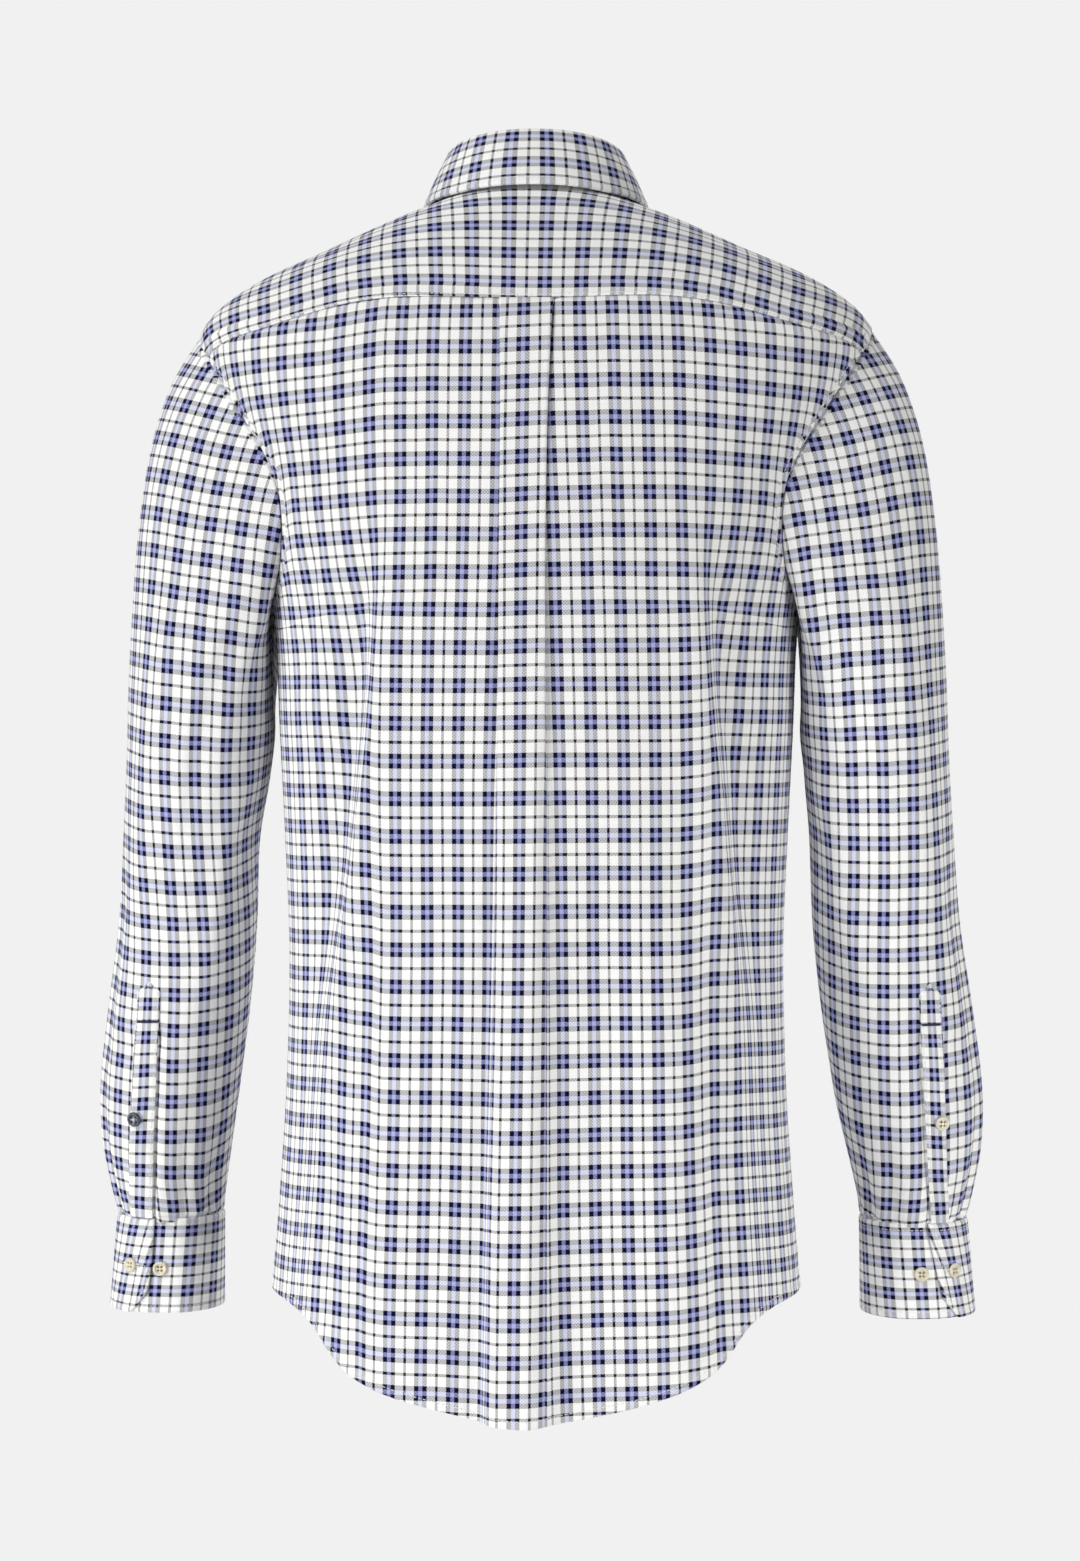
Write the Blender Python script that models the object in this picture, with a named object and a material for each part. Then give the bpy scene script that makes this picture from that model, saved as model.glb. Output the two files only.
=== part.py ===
"""A long-sleeved checked shirt, filled out as if worn but hollow, seen mostly from behind.

Metres, +Z up, the front faces -Y and the wearer's left is +X. The origin is where the wearer's
shoulders carry the shirt: midway between them, at the height of the back neck seam.

The body is one form, a stack of girths from hem to neck. A place on it is (theta, level): theta
is the way round in degrees, 0 at the centre back, 90 at the wearer's left side and 180 at the
centre front; level is the height at the centre back of the girth that the place lies on. The
body panels are cut from the form along seams drawn in theta and level, so they always meet.
The sleeves are tubes that start on the armhole and hang to the cuffs.
"""

import math
from typing import NamedTuple

import bpy
import numpy as np

MM = 0.001
WALL = 1.6 * MM                 # the cloth's wall
GAP = 0.35 * MM                 # between pieces that are sewn or laid together
LEFT, RIGHT = 1.0, -1.0         # the wearer's own sides


class Girth(NamedTuple):
    """One girth round the body form, in metres. Heights are Z and depths run back or forward."""
    level: float
    half_width: float
    side_height: float
    back_depth: float
    front_depth: float
    front_height: float


class Place(NamedTuple):
    """A place on the body form."""
    theta: float
    level: float


class ArmholePoint(NamedTuple):
    """A point on the armhole seam. Turn is 0 on the shoulder, 90 at the back, 180 under the arm."""
    turn: float
    theta: float
    level: float


class SleeveSection(NamedTuple):
    """One section through a sleeve: its outer and inner lines seen from behind, and its depths."""
    down: float
    outer_x: float
    outer_z: float
    inner_x: float
    inner_z: float
    middle_y: float
    back_half: float
    front_half: float


class PleatRow(NamedTuple):
    """The back's box pleat at one height: its edges, its rise and how widely each flank falls."""
    z: float
    left_x: float
    right_x: float
    rise: float
    left_flank: float
    right_flank: float


class Fold(NamedTuple):
    """A soft fold: a line from top to bottom through three heights, raised (+) or sunk (-)."""
    top_z: float
    middle_z: float
    bottom_z: float
    top_x: float
    middle_x: float
    bottom_x: float
    rise: float
    half_width: float


GIRTHS = [
    #     level   half_w  side_z   back    front   front_z
    Girth(-0.800, 0.1700, -0.800, 0.1230, 0.1180, -0.800),
    Girth(-0.700, 0.1685, -0.700, 0.1215, 0.1165, -0.700),
    Girth(-0.640, 0.1640, -0.640, 0.1190, 0.1140, -0.640),
    Girth(-0.560, 0.1590, -0.560, 0.1130, 0.1110, -0.560),
    Girth(-0.480, 0.1575, -0.480, 0.1085, 0.1105, -0.480),
    Girth(-0.410, 0.1600, -0.410, 0.1100, 0.1150, -0.410),
    Girth(-0.340, 0.1635, -0.340, 0.1150, 0.1230, -0.340),
    Girth(-0.290, 0.1655, -0.290, 0.1185, 0.1290, -0.290),
    Girth(-0.262, 0.1680, -0.262, 0.1200, 0.1310, -0.264),
    Girth(-0.230, 0.1730, -0.230, 0.1205, 0.1310, -0.236),
    Girth(-0.190, 0.1820, -0.178, 0.1200, 0.1285, -0.205),
    Girth(-0.150, 0.2040, -0.128, 0.1180, 0.1230, -0.177),
    Girth(-0.122, 0.2140, -0.100, 0.1155, 0.1170, -0.158),
    Girth(-0.104, 0.2130, -0.084, 0.1130, 0.1120, -0.146),
    Girth(-0.084, 0.2000, -0.0685, 0.1080, 0.1050, -0.132),
    Girth(-0.062, 0.1730, -0.0515, 0.1010, 0.0965, -0.117),
    Girth(-0.040, 0.1370, -0.0360, 0.0920, 0.0875, -0.103),
    Girth(-0.018, 0.0930, -0.0165, 0.0790, 0.0775, -0.090),
    Girth(0.000, 0.0565, -0.004, 0.0650, 0.0680, -0.078),
]
SQUARENESS = 2.25               # 2 is an ellipse, and more is flatter at the back and sides

ARMHOLE = [
    #            turn  theta   level
    ArmholePoint(-180, 90.0, -0.2630),
    ArmholePoint(-155, 105.0, -0.2540),
    ArmholePoint(-127, 116.5, -0.2290),
    ArmholePoint(-100, 121.0, -0.2000),
    ArmholePoint(-75, 119.0, -0.1730),
    ArmholePoint(-50, 113.5, -0.1470),
    ArmholePoint(-25, 105.5, -0.1230),
    ArmholePoint(0, 90.0, -0.1040),
    ArmholePoint(27, 74.0, -0.1240),
    ArmholePoint(53, 66.0, -0.1500),
    ArmholePoint(78, 61.0, -0.1790),
    ArmholePoint(104, 59.5, -0.2060),
    ArmholePoint(130, 64.0, -0.2340),
    ArmholePoint(155, 75.0, -0.2550),
    ArmholePoint(180, 90.0, -0.2630),
]
YOKE_BACK_TURN, YOKE_FRONT_TURN = 27.0, -25.0
YOKE_BACK_SEAM = [Place(0, -0.0780), Place(20, -0.0775), Place(31, -0.0825), Place(40, -0.0920),
                  Place(48, -0.1015), Place(61, -0.1130), Place(74, -0.1240)]
YOKE_FRONT_NECK_THETA = 113.0
YOKE_BACK_NECK_THETA = 66.0     # the neck places that lie over the yoke's back corners
HEM = [Place(0, -0.7593), Place(9, -0.7560), Place(25, -0.7457), Place(36, -0.7356),
       Place(43, -0.7250), Place(50, -0.7085), Place(56, -0.7000), Place(66, -0.6945),
       Place(90, -0.6930), Place(114, -0.6955), Place(126, -0.7040), Place(134, -0.7130),
       Place(144, -0.7220), Place(158, -0.7300), Place(180, -0.7350)]

# Sleeve sections, the same on both sides. Down is the way from shoulder to cuff, 0 to 1.
SLEEVE = [
    #             down  outer_x  outer_z  inner_x  inner_z  mid_y   back    front
    SleeveSection(0.00, 0.2130, -0.0840, 0.1684, -0.2640, 0.004, 0.070, 0.066),
    SleeveSection(0.06, 0.2320, -0.1150, 0.1700, -0.2760, 0.005, 0.069, 0.066),
    SleeveSection(0.12, 0.2450, -0.1536, 0.1697, -0.2920, 0.005, 0.067, 0.066),
    SleeveSection(0.20, 0.2534, -0.2048, 0.1692, -0.3080, 0.004, 0.066, 0.065),
    SleeveSection(0.28, 0.2579, -0.2560, 0.1690, -0.3250, 0.003, 0.065, 0.064),
    SleeveSection(0.36, 0.2610, -0.3070, 0.1686, -0.3440, 0.001, 0.063, 0.062),
    SleeveSection(0.44, 0.2630, -0.3580, 0.1722, -0.3710, -0.002, 0.060, 0.059),
    SleeveSection(0.53, 0.2665, -0.4100, 0.1793, -0.4100, -0.008, 0.055, 0.055),
    SleeveSection(0.62, 0.2712, -0.4627, 0.1820, -0.4627, -0.016, 0.050, 0.051),
    SleeveSection(0.71, 0.2795, -0.5138, 0.1875, -0.5138, -0.026, 0.047, 0.049),
    SleeveSection(0.80, 0.2870, -0.5655, 0.1955, -0.5655, -0.037, 0.045, 0.047),
    SleeveSection(0.88, 0.2875, -0.6052, 0.2020, -0.6052, -0.045, 0.044, 0.046),
    SleeveSection(0.945, 0.2820, -0.6387, 0.2078, -0.6387, -0.051, 0.043, 0.044),
    SleeveSection(1.00, 0.2782, -0.6575, 0.2098, -0.6575, -0.054, 0.042, 0.042),
]
SLEEVE_TURNS = [-180, -168, -155, -127, -100, -75, -50, -25, -12, 1, 14, 27, 40, 53, 65.5, 78, 104,
                130, 155, 168]
SLEEVE_ROWS = [0.0, 0.05, 0.10, 0.16, 0.22, 0.28, 0.34, 0.40, 0.46, 0.52, 0.58, 0.64, 0.70, 0.76,
               0.82, 0.88, 0.93, 0.965, 1.0]
HEAD_FADE = 0.42                # share of the sleeve over which the armhole's shape dies away
RIGHT_FULLER = 0.0050           # the right sleeve hangs this much fuller towards the body

CUFF_TOP, CUFF_BOTTOM = -0.6580, -0.7250
CUFF_TOP_HALF = (0.0352, 0.0420)
CUFF_BOTTOM_HALF = (0.0376, 0.0432)
CUFF_MIDDLE_TOP = (0.2440, -0.0545)
CUFF_MIDDLE_BOTTOM = (0.2472, -0.0590)
CUFF_EDGE_TURN = 78.0           # where the top layer ends, towards the back of the wrist
CUFF_EDGE_SLANT = 9.0
CUFF_OVERLAP_TURN = 46.0
CUFF_MITRE = 13 * MM
CUFF_COLUMNS, CUFF_ROWS = 30, 4
UNDER_GAP = 0.8 * MM            # between a layer and the one under it
LAYER_STEP = WALL + UNDER_GAP   # how far an under layer lies below the layer over it
CUFF_DROP_WAYS = (8.0, 40.0)    # degrees past the edge over which the under layer comes up

STAND_HEIGHT_BACK, STAND_HEIGHT_FRONT = 0.030, 0.026
STAND_WALL = 1.8 * MM
STAND_RADIUS = 0.058
STAND_ROWS = 3
COLLAR_LEAN = math.radians(15)  # the stand leans forward
COLLAR_UP = np.array([0.0, -math.sin(COLLAR_LEAN), math.cos(COLLAR_LEAN)])
STAND_TAPER = 3.0 * MM
STAND_LAP = 0.0170              # how far each end of the stand passes the centre front
STAND_SINK_WAYS = (3.0, 30.0)   # degrees past the lap over which the under end comes up
STAND_END_CUT = 0.25            # share of the stand's height that its rounded ends lose
SEAM_RISE, SEAM_INSET = 0.5 * MM, 0.3 * MM      # the stand's foot, off the body's neck edge
FALL_LEAF_BACK, FALL_LEAF_POINT = 0.0370, 0.0760
FALL_RISE = 2.5 * MM
FALL_ROLL = 3.6 * MM
FALL_WALL = 1.8 * MM
COLLAR_STEP = 10
FALL_FRONT_THETA = 174.0
FALL_LENGTHENS_THETA = 85.0     # from here forward the leaf grows towards its point
FALL_POINT_POWER = 1.4
FALL_SPREAD = 26.0              # degrees that a point stands back from the front edge's top
ROLL_ANGLES = (45, 90, 135)     # rows over the roll
LEAF_SHARES = (0.0, 0.15, 0.40, 0.70, 1.0)      # rows down the leaf
LEAF_LEAN = math.radians(12)
LEAF_CLEAR = 2.0 * MM
LEAF_BOW = 0.8 * MM
SHOULDER_END = -0.110           # the level below which the collar's leaf never reaches

PLACKET_HALF = 0.0175
PLACKET_TOP_GAP = 2.0 * MM      # its raised top edge stops below the stand
PLACKET_RISE = 1.2 * MM
PLACKET_WALL = 2.2 * MM
UNDER_FRONT_EDGE = 0.0100       # the right front's edge, past the centre and under the placket
UNDER_FRONT_BEND = (0.045, 0.024)   # how far from the centre the right front goes under

PLEAT = [
    # Pressed and sharp under the yoke, then a ridge that stands out more and more to the hem.
    #        z      left_x   right_x  rise       left      right
    PleatRow(-0.78, 0.0240, -0.0120, 13.0 * MM, 15 * MM, 26 * MM),
    PleatRow(-0.65, 0.0222, -0.0115, 11.5 * MM, 14 * MM, 24 * MM),
    PleatRow(-0.52, 0.0196, -0.0112, 9.0 * MM, 12 * MM, 20 * MM),
    PleatRow(-0.40, 0.0176, -0.0112, 6.0 * MM, 9 * MM, 15 * MM),
    PleatRow(-0.30, 0.0166, -0.0114, 3.8 * MM, 5 * MM, 9 * MM),
    PleatRow(-0.22, 0.0160, -0.0118, 2.6 * MM, 2 * MM, 3 * MM),
    PleatRow(-0.14, 0.0155, -0.0131, 2.2 * MM, 1.5 * MM, 1.5 * MM),
    PleatRow(-0.07, 0.0166, -0.0160, 2.2 * MM, 1.5 * MM, 1.5 * MM),
]
PLEAT_SINK = 0.35               # the share of the rise that the cloth beside the ridge sinks by
PLEAT_SINK_WIDTH = 0.045
PLEAT_COLUMNS = (-8 * MM, -0.75 * MM, 0.75 * MM, 8 * MM, 16 * MM)    # out from each edge
PLEAT_COLUMN_GAP = 0.022        # no other column runs this close to one of these

BACK_FOLDS = [
    #    top_z  mid_z  bot_z   top_x   mid_x   bot_x    rise     half_w
    Fold(-0.22, -0.36, -0.51, 0.0905, 0.1040, 0.1280, -3.6 * MM, 0.011),
    Fold(-0.22, -0.36, -0.51, -0.1075, -0.1190, -0.1350, -3.6 * MM, 0.011),
    Fold(-0.20, -0.36, -0.50, 0.0720, 0.0830, 0.1030, 3.0 * MM, 0.013),
    Fold(-0.20, -0.36, -0.50, -0.0890, -0.0980, -0.1130, 3.0 * MM, 0.013),
    Fold(-0.42, -0.60, -0.76, 0.0860, 0.0900, 0.0900, 2.6 * MM, 0.018),
    Fold(-0.42, -0.60, -0.76, -0.0830, -0.0880, -0.0950, 2.6 * MM, 0.018),
]
FRONT_FOLDS = [
    Fold(-0.24, -0.40, -0.56, 0.1080, 0.1050, 0.1180, -2.4 * MM, 0.011),
    Fold(-0.24, -0.40, -0.56, -0.1060, -0.1080, -0.1200, -2.4 * MM, 0.011),
    Fold(-0.38, -0.56, -0.71, 0.0640, 0.0700, 0.0760, 2.4 * MM, 0.015),
    Fold(-0.38, -0.56, -0.71, -0.0680, -0.0660, -0.0720, 2.4 * MM, 0.015),
]
SLEEVE_FOLDS = [
    # A sleeve's folds are placed by turn in degrees where a body fold has x, and by down for z.
    Fold(0.12, 0.34, 0.60, 118, 105, 96, -3.0 * MM, 13),
    Fold(0.16, 0.40, 0.70, 70, 62, 52, 2.2 * MM, 13),
    Fold(0.40, 0.56, 0.74, 150, 128, 112, 3.0 * MM, 13),
    Fold(0.50, 0.66, 0.86, 30, 22, 30, -2.4 * MM, 12),
    Fold(0.12, 0.34, 0.60, -112, -100, -92, -2.8 * MM, 13),
    Fold(0.42, 0.58, 0.78, -140, -124, -110, 2.8 * MM, 13),
    Fold(0.30, 0.52, 0.80, -55, -48, -42, 2.0 * MM, 13),
    Fold(0.80, 0.94, 1.10, 24, 27, 28, -3.0 * MM, 8),
]

BODY_ROWS_BELOW = 14
DIP, DIP_REACH, DIP_SPREAD = 0.014, 0.09, 0.030     # how rows dip beside the underarm
BOTTOM_REACH, TOP_REACH = 0.35, 0.11     # how far the hem and the top edge bend a panel's rows
BACK_COLUMNS = 22
FRONT_NECK_COLUMNS = 7
YOKE_ROWS = 6

BUTTON_RADIUS, SMALL_BUTTON_RADIUS = 5.6 * MM, 4.7 * MM
BUTTON_THICK = 2.2 * MM
BUTTON_SIDES = 12
BUTTON_PROFILE = [              # shares of the radius and the thickness, from the dish outward
    (0.0, 0.55), (0.60, 0.55), (0.74, 1.0), (0.92, 1.0), (1.0, 0.6), (0.94, 0.0), (0.0, 0.0)]
BUTTON_LIFT = GAP + 0.1 * MM
COLLAR_BUTTON_LIFT = 1.0 * MM   # the stand leans back under its button
FRONT_BUTTON_TOP, FRONT_BUTTON_STEP, FRONT_BUTTONS = -0.155, 0.0900, 6
CUFF_BUTTON_TURNS = (55.0, 88.0)
CUFF_BUTTON_SHARE = 0.50
CUFF_BUTTON_FALL = 0.03         # the second cuff button sits this share lower
CUFF_BUTTON_LIFT = GAP + 0.35 * MM
SLEEVE_PLACKET_TOP = 0.70
SLEEVE_PLACKET_TIP = 0.18       # its point, as a share of the row of the sleeve above it
SLEEVE_PLACKET_TURNS = (53, 65.5, 78)
SLEEVE_PLACKET_LIFT = WALL + GAP + 0.1 * MM
SLEEVE_BUTTON_ROWS = (0.82, 0.88)
SLEEVE_BUTTON_SHARE = 0.70      # where its button lies between those two rows

CLOTH_WHITE = (0.80, 0.80, 0.84)
CLOTH_BLUE = (0.52, 0.55, 0.72)
BUTTON_CREAM = (0.72, 0.66, 0.50)
BUTTON_NAVY = (0.05, 0.06, 0.10)


# ---------------------------------------------------------------- numbers
def smooth_read(table, key, at):
    """Reads a table of named rows at the given keys, along a smooth line through its rows."""
    rows = np.array(table, float)
    x = rows[:, key]
    values = np.delete(rows, key, axis=1)
    slopes = np.empty_like(values)
    slopes[1:-1] = (values[2:] - values[:-2]) / (x[2:] - x[:-2])[:, None]
    slopes[0] = (values[1] - values[0]) / (x[1] - x[0])
    slopes[-1] = (values[-1] - values[-2]) / (x[-1] - x[-2])
    at = np.asarray(at, float)
    low = np.clip(np.searchsorted(x, at, side="right") - 1, 0, len(x) - 2)
    span = (x[low + 1] - x[low])[..., None]
    t = (at - x[low])[..., None] / span
    t = np.clip(t, 0.0, 1.0)
    a = (1 + 2 * t) * (1 - t) ** 2
    b = t * (1 - t) ** 2
    c = t * t * (3 - 2 * t)
    d = t * t * (t - 1)
    return a * values[low] + b * span * slopes[low] + c * values[low + 1] + d * span * slopes[low + 1]


def smooth_step(x, low, high):
    """0 below low, 1 above high and a soft rise between; low may be the larger."""
    t = np.clip((np.asarray(x, float) - low) / (high - low), 0.0, 1.0)
    return t * t * (3 - 2 * t)


def signed_power(x, power):
    """x to a power, with its sign kept."""
    return np.sign(x) * np.abs(x) ** power


def unit(v):
    """Each vector at length 1."""
    return v / np.maximum(np.linalg.norm(v, axis=-1, keepdims=True), 1e-12)


def grid_normals(points, wraps=False):
    """Normals of a grid of points, from its own directions along its columns and rows."""
    if wraps:
        along = np.roll(points, -1, axis=1) - np.roll(points, 1, axis=1)
    else:
        along = np.gradient(points, axis=1)
    return unit(np.cross(along, np.gradient(points, axis=0)))


# ---------------------------------------------------------------- the body form
def fold_height(folds, x, z):
    """How far the folds lift the cloth at x, z."""
    total = np.zeros(np.broadcast(x, z).shape)
    for fold in folds:
        heights = np.array([fold.bottom_z, fold.middle_z, fold.top_z])
        places = np.array([fold.bottom_x, fold.middle_x, fold.top_x])
        line = np.polyval(np.polyfit(heights, places, 2), z)
        length = abs(fold.top_z - fold.bottom_z)
        inside = np.minimum(np.abs(z - fold.top_z), np.abs(z - fold.bottom_z)) / length
        between = (z - fold.top_z) * (z - fold.bottom_z) < 0
        fade = smooth_step(np.where(between, inside, 0.0), 0.0, 0.3)
        total = total + fold.rise * fade * np.exp(-((x - line) / fold.half_width) ** 2)
    return total


def plain_form(theta, level):
    """The body form without its folds."""
    half, side_z, back, front, front_z = np.moveaxis(smooth_read(GIRTHS, 0, level), -1, 0)
    s, c = np.sin(np.radians(theta)), np.cos(np.radians(theta))
    power = 2.0 / SQUARENESS
    depth = np.where(c > 0, back, front)
    end_z = np.where(c > 0, level, front_z)
    return np.stack([half * signed_power(s, power), depth * signed_power(c, power),
                     side_z + (end_z - side_z) * c * c], axis=-1)


def form_normal(theta, level):
    """The form's outward normal."""
    turn, rise = 1.0, 0.004
    across = plain_form(theta + turn, level) - plain_form(theta - turn, level)
    up = plain_form(theta, np.minimum(level + rise, 0.0)) - plain_form(theta, level - rise)
    return unit(np.cross(across, up)) * -1.0


def pleat_height(x, z):
    """How far the back's pleat, and the ridge that it opens into, stands out at x, z."""
    left, right, rise, left_flank, right_flank = np.moveaxis(smooth_read(PLEAT, 0, z), -1, 0)
    beyond_left, beyond_right = x - left, right - x
    outside = np.maximum(beyond_left, beyond_right)
    top = (smooth_step(beyond_left, left_flank / 2, -left_flank / 2)
           * smooth_step(beyond_right, right_flank / 2, -right_flank / 2))
    low = 1 - smooth_step(np.abs(outside - PLEAT_SINK_WIDTH / 2), 0.0, PLEAT_SINK_WIDTH)
    sunk = PLEAT_SINK * np.maximum(rise - PLEAT[-1].rise, 0.0) * low * (outside > 0)
    return rise * top - sunk * (1 - top)


def body_form(theta, level):
    """The body form with its soft folds; returns points and normals."""
    points = plain_form(theta, level)
    normals = form_normal(theta, level)
    behind = smooth_step(points[..., 1], 0.0, 0.02)
    before = smooth_step(points[..., 1], 0.0, -0.02)
    under_yoke = smooth_step(level, YOKE_BACK_SEAM[0].level + 2 * MM, YOKE_BACK_SEAM[0].level + MM)
    rise = (behind * (fold_height(BACK_FOLDS, points[..., 0], points[..., 2])
                      + under_yoke * pleat_height(points[..., 0], points[..., 2]))
            + before * fold_height(FRONT_FOLDS, points[..., 0], points[..., 2]))
    return points + normals * rise[..., None], normals


def theta_at(x, level):
    """Theta of the place on the front that has this x, from the wearer's left of the centre."""
    half = smooth_read(GIRTHS, 0, level)[..., 0]
    return 180.0 - np.degrees(np.arcsin(signed_power(x / half, SQUARENESS / 2.0)))


def armhole(turn):
    """Theta and level of the armhole seam, on the wearer's left."""
    return smooth_read(ARMHOLE, 0, turn)


def hem_level(theta):
    """The level of the hem, the same on both sides."""
    return smooth_read(HEM, 0, np.abs(theta))[..., 0]


def yoke_level(theta):
    """The level of the yoke's back seam, the same on both sides."""
    return smooth_read(YOKE_BACK_SEAM, 0, np.abs(theta))[..., 0]


# ---------------------------------------------------------------- grids and solids
def patch(bottom, top, left, right, shares=None):
    """A grid of places between four edge lines of (theta, level).

    Each row runs straight from the left line to the right one, and bends to follow the bottom
    or the top line only near it.
    """
    columns = len(bottom)
    s = np.linspace(0, 1, columns) if shares is None else shares
    s = s[None, :, None]
    rows = left[:, None] * (1 - s) + right[:, None] * s
    height = left[:, 1]
    near_bottom = 1 - smooth_step(height, height[0], height[0] + BOTTOM_REACH)
    near_top = smooth_step(height, height[-1] - TOP_REACH, height[-1])
    places = (rows + near_bottom[:, None, None] * (bottom[None] - rows[:1])
              + near_top[:, None, None] * (top[None] - rows[-1:]))
    # Below the armhole the rows dip, so that none runs along the seam's flat bottom.
    reach = np.minimum(s, 1 - s if right[0, 0] < 0 else s)[..., 0] / DIP_REACH
    beside = np.exp(-((height - ARMHOLE[0].level) / DIP_SPREAD) ** 2)[:, None]
    places[..., 1] -= DIP * beside * reach * np.exp(1 - reach)
    return places


def draw_in(points, sides, amount):
    """Moves a grid's named edges in along the cloth, so that neighbours stand a gap apart."""
    moved = points.copy()
    steps = {"first_row": (np.s_[0, :], np.s_[1, :]), "last_row": (np.s_[-1, :], np.s_[-2, :]),
             "first_column": (np.s_[:, 0], np.s_[:, 1]), "last_column": (np.s_[:, -1], np.s_[:, -2])}
    for side in sides:
        edge, inner = steps[side]
        moved[edge] += unit(points[inner] - points[edge]) * amount
    return moved


def wall_mesh(name, outer, inner, wraps=False):
    """A closed wall between two grids of points. One that wraps is a tube with open ends."""
    rows, columns = outer.shape[:2]
    points = np.concatenate([outer.reshape(-1, 3), inner.reshape(-1, 3)])
    count = rows * columns
    last = columns if wraps else columns - 1
    faces = []
    for r in range(rows - 1):
        for c in range(last):
            a, b = r * columns + c, r * columns + (c + 1) % columns
            d, e = a + columns, b + columns
            faces.append((a, b, e, d))
            faces.append((a + count, d + count, e + count, b + count))
    for c in range(last):
        a, b = c, (c + 1) % columns
        faces.append((b, a, a + count, b + count))
        a, b = a + (rows - 1) * columns, b + (rows - 1) * columns
        faces.append((a, b, b + count, a + count))
    if not wraps:
        for r in range(rows - 1):
            a, b = r * columns, (r + 1) * columns
            faces.append((a, b, b + count, a + count))
            a, b = a + columns - 1, b + columns - 1
            faces.append((b, a, a + count, b + count))
    return solid(name, points, faces)


def solid(name, points, faces):
    """A mesh object whose faces point outward."""
    mesh = bpy.data.meshes.new(name)
    corners = np.asarray(points, float)
    volume = 0.0
    for face in faces:
        for i in range(1, len(face) - 1):
            volume += np.dot(corners[face[0]], np.cross(corners[face[i]], corners[face[i + 1]]))
    if volume < 0:
        faces = [face[::-1] for face in faces]
    mesh.from_pydata([tuple(p) for p in corners], [], faces)
    mesh.update()
    mesh.shade_smooth()
    mesh.set_sharp_from_angle(angle=math.radians(50))
    thing = bpy.data.objects.new(name, mesh)
    bpy.context.scene.collection.objects.link(thing)
    return thing


def cloth(name, points, normals, rise=0.0, wall=WALL, wraps=False):
    """A piece of cloth: its outside lies on the points, raised, and its inside a wall below."""
    raised = points + normals * np.asarray(rise)[..., None]
    thing = wall_mesh(name, raised, raised - normals * wall, wraps)
    paint(thing, "cotton_" + name, CLOTH_WHITE, 0.85)
    return thing


def paint(thing, name, colour, roughness):
    """Gives an object its own plain material."""
    material = bpy.data.materials.new(name)
    material.use_nodes = True
    shader = material.node_tree.nodes["Principled BSDF"]
    shader.inputs["Base Color"].default_value = (*colour, 1.0)
    shader.inputs["Roughness"].default_value = roughness
    shader.inputs["Metallic"].default_value = 0.0
    material.diffuse_color = (*colour, 1.0)
    thing.data.materials.append(material)


def mirrored(places):
    """The same places on the wearer's other side."""
    return places * np.array([-1.0, 1.0])


# ---------------------------------------------------------------- body panels
def back_turns():
    """The armhole's turns along the back, from the yoke down to the underarm."""
    return np.array([t for t in SLEEVE_TURNS if t >= YOKE_BACK_TURN] + [180.0])


def side_line(turns, side_rows):
    """The panel's edge up the side seam and round its part of the armhole."""
    side = np.linspace(hem_level(90.0), ARMHOLE[0].level, side_rows + 1)[:-1]
    side = np.stack([np.full(side_rows, 90.0), side], axis=-1)
    return np.concatenate([side, armhole(turns)])


def back_shares():
    """Where the back's columns run, -1 to 1 across it, with more beside each edge of the pleat."""
    even = np.linspace(-1, 1, BACK_COLUMNS + 1)
    top_half = plain_form(90.0, YOKE_BACK_SEAM[-1].level)[0]
    places = ([PLEAT[-1].left_x + out for out in PLEAT_COLUMNS]
              + [PLEAT[-1].right_x - out for out in PLEAT_COLUMNS])
    theta = np.degrees(np.arcsin(signed_power(np.array(places) / top_half, SQUARENESS / 2.0)))
    edges = list(theta / YOKE_BACK_SEAM[-1].theta)
    clear = [s for s in even if min(abs(s - e) for e in edges) > PLEAT_COLUMN_GAP]
    return np.array(sorted(clear + edges, reverse=True))


def build_back():
    """The back, from the hem to the yoke, with its pleat pressed at the top."""
    shares = back_shares()
    turns = back_turns()[::-1]
    left = side_line(turns, BODY_ROWS_BELOW)
    right = mirrored(left)
    bottom_theta = shares * 90.0
    bottom = np.stack([bottom_theta, hem_level(bottom_theta)], axis=-1)
    top_theta = shares * YOKE_BACK_SEAM[-1].theta
    top = np.stack([top_theta, yoke_level(top_theta)], axis=-1)
    places = patch(bottom, top, left, right, (1 - shares) / 2)
    points, normals = body_form(places[..., 0], places[..., 1])
    points = draw_in(points, ["first_column", "last_column", "last_row"], GAP / 2)
    return cloth("back", points, normals)


def yoke_edges():
    """The yoke's neck edge and outer edge, matched point to point from left front to right."""
    shares = back_shares()
    over = np.array([t for t in SLEEVE_TURNS if YOKE_FRONT_TURN <= t <= YOKE_BACK_TURN])
    left_arm = armhole(over)
    back_theta = shares * YOKE_BACK_SEAM[-1].theta
    back = np.stack([back_theta, yoke_level(back_theta)], axis=-1)
    outer = np.concatenate([left_arm[:-1], back, mirrored(left_arm)[::-1][1:]])
    arm_neck = np.linspace(YOKE_FRONT_NECK_THETA, YOKE_BACK_NECK_THETA, len(over))
    neck_theta = np.concatenate([arm_neck[:-1], shares * YOKE_BACK_NECK_THETA, -arm_neck[::-1][1:]])
    return np.stack([neck_theta, np.zeros_like(neck_theta)], axis=-1), outer


def build_yoke():
    """The yoke, from the neck over the shoulders to the back and front seams."""
    neck, outer = yoke_edges()
    t = np.linspace(0, 1, YOKE_ROWS + 1)[:, None, None]
    places = outer[None] * (1 - t) + neck[None] * t
    points, normals = body_form(places[..., 0], places[..., 1])
    points = draw_in(points, ["first_row", "first_column", "last_column"], GAP / 2)
    return cloth("yoke", points, normals)


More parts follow.
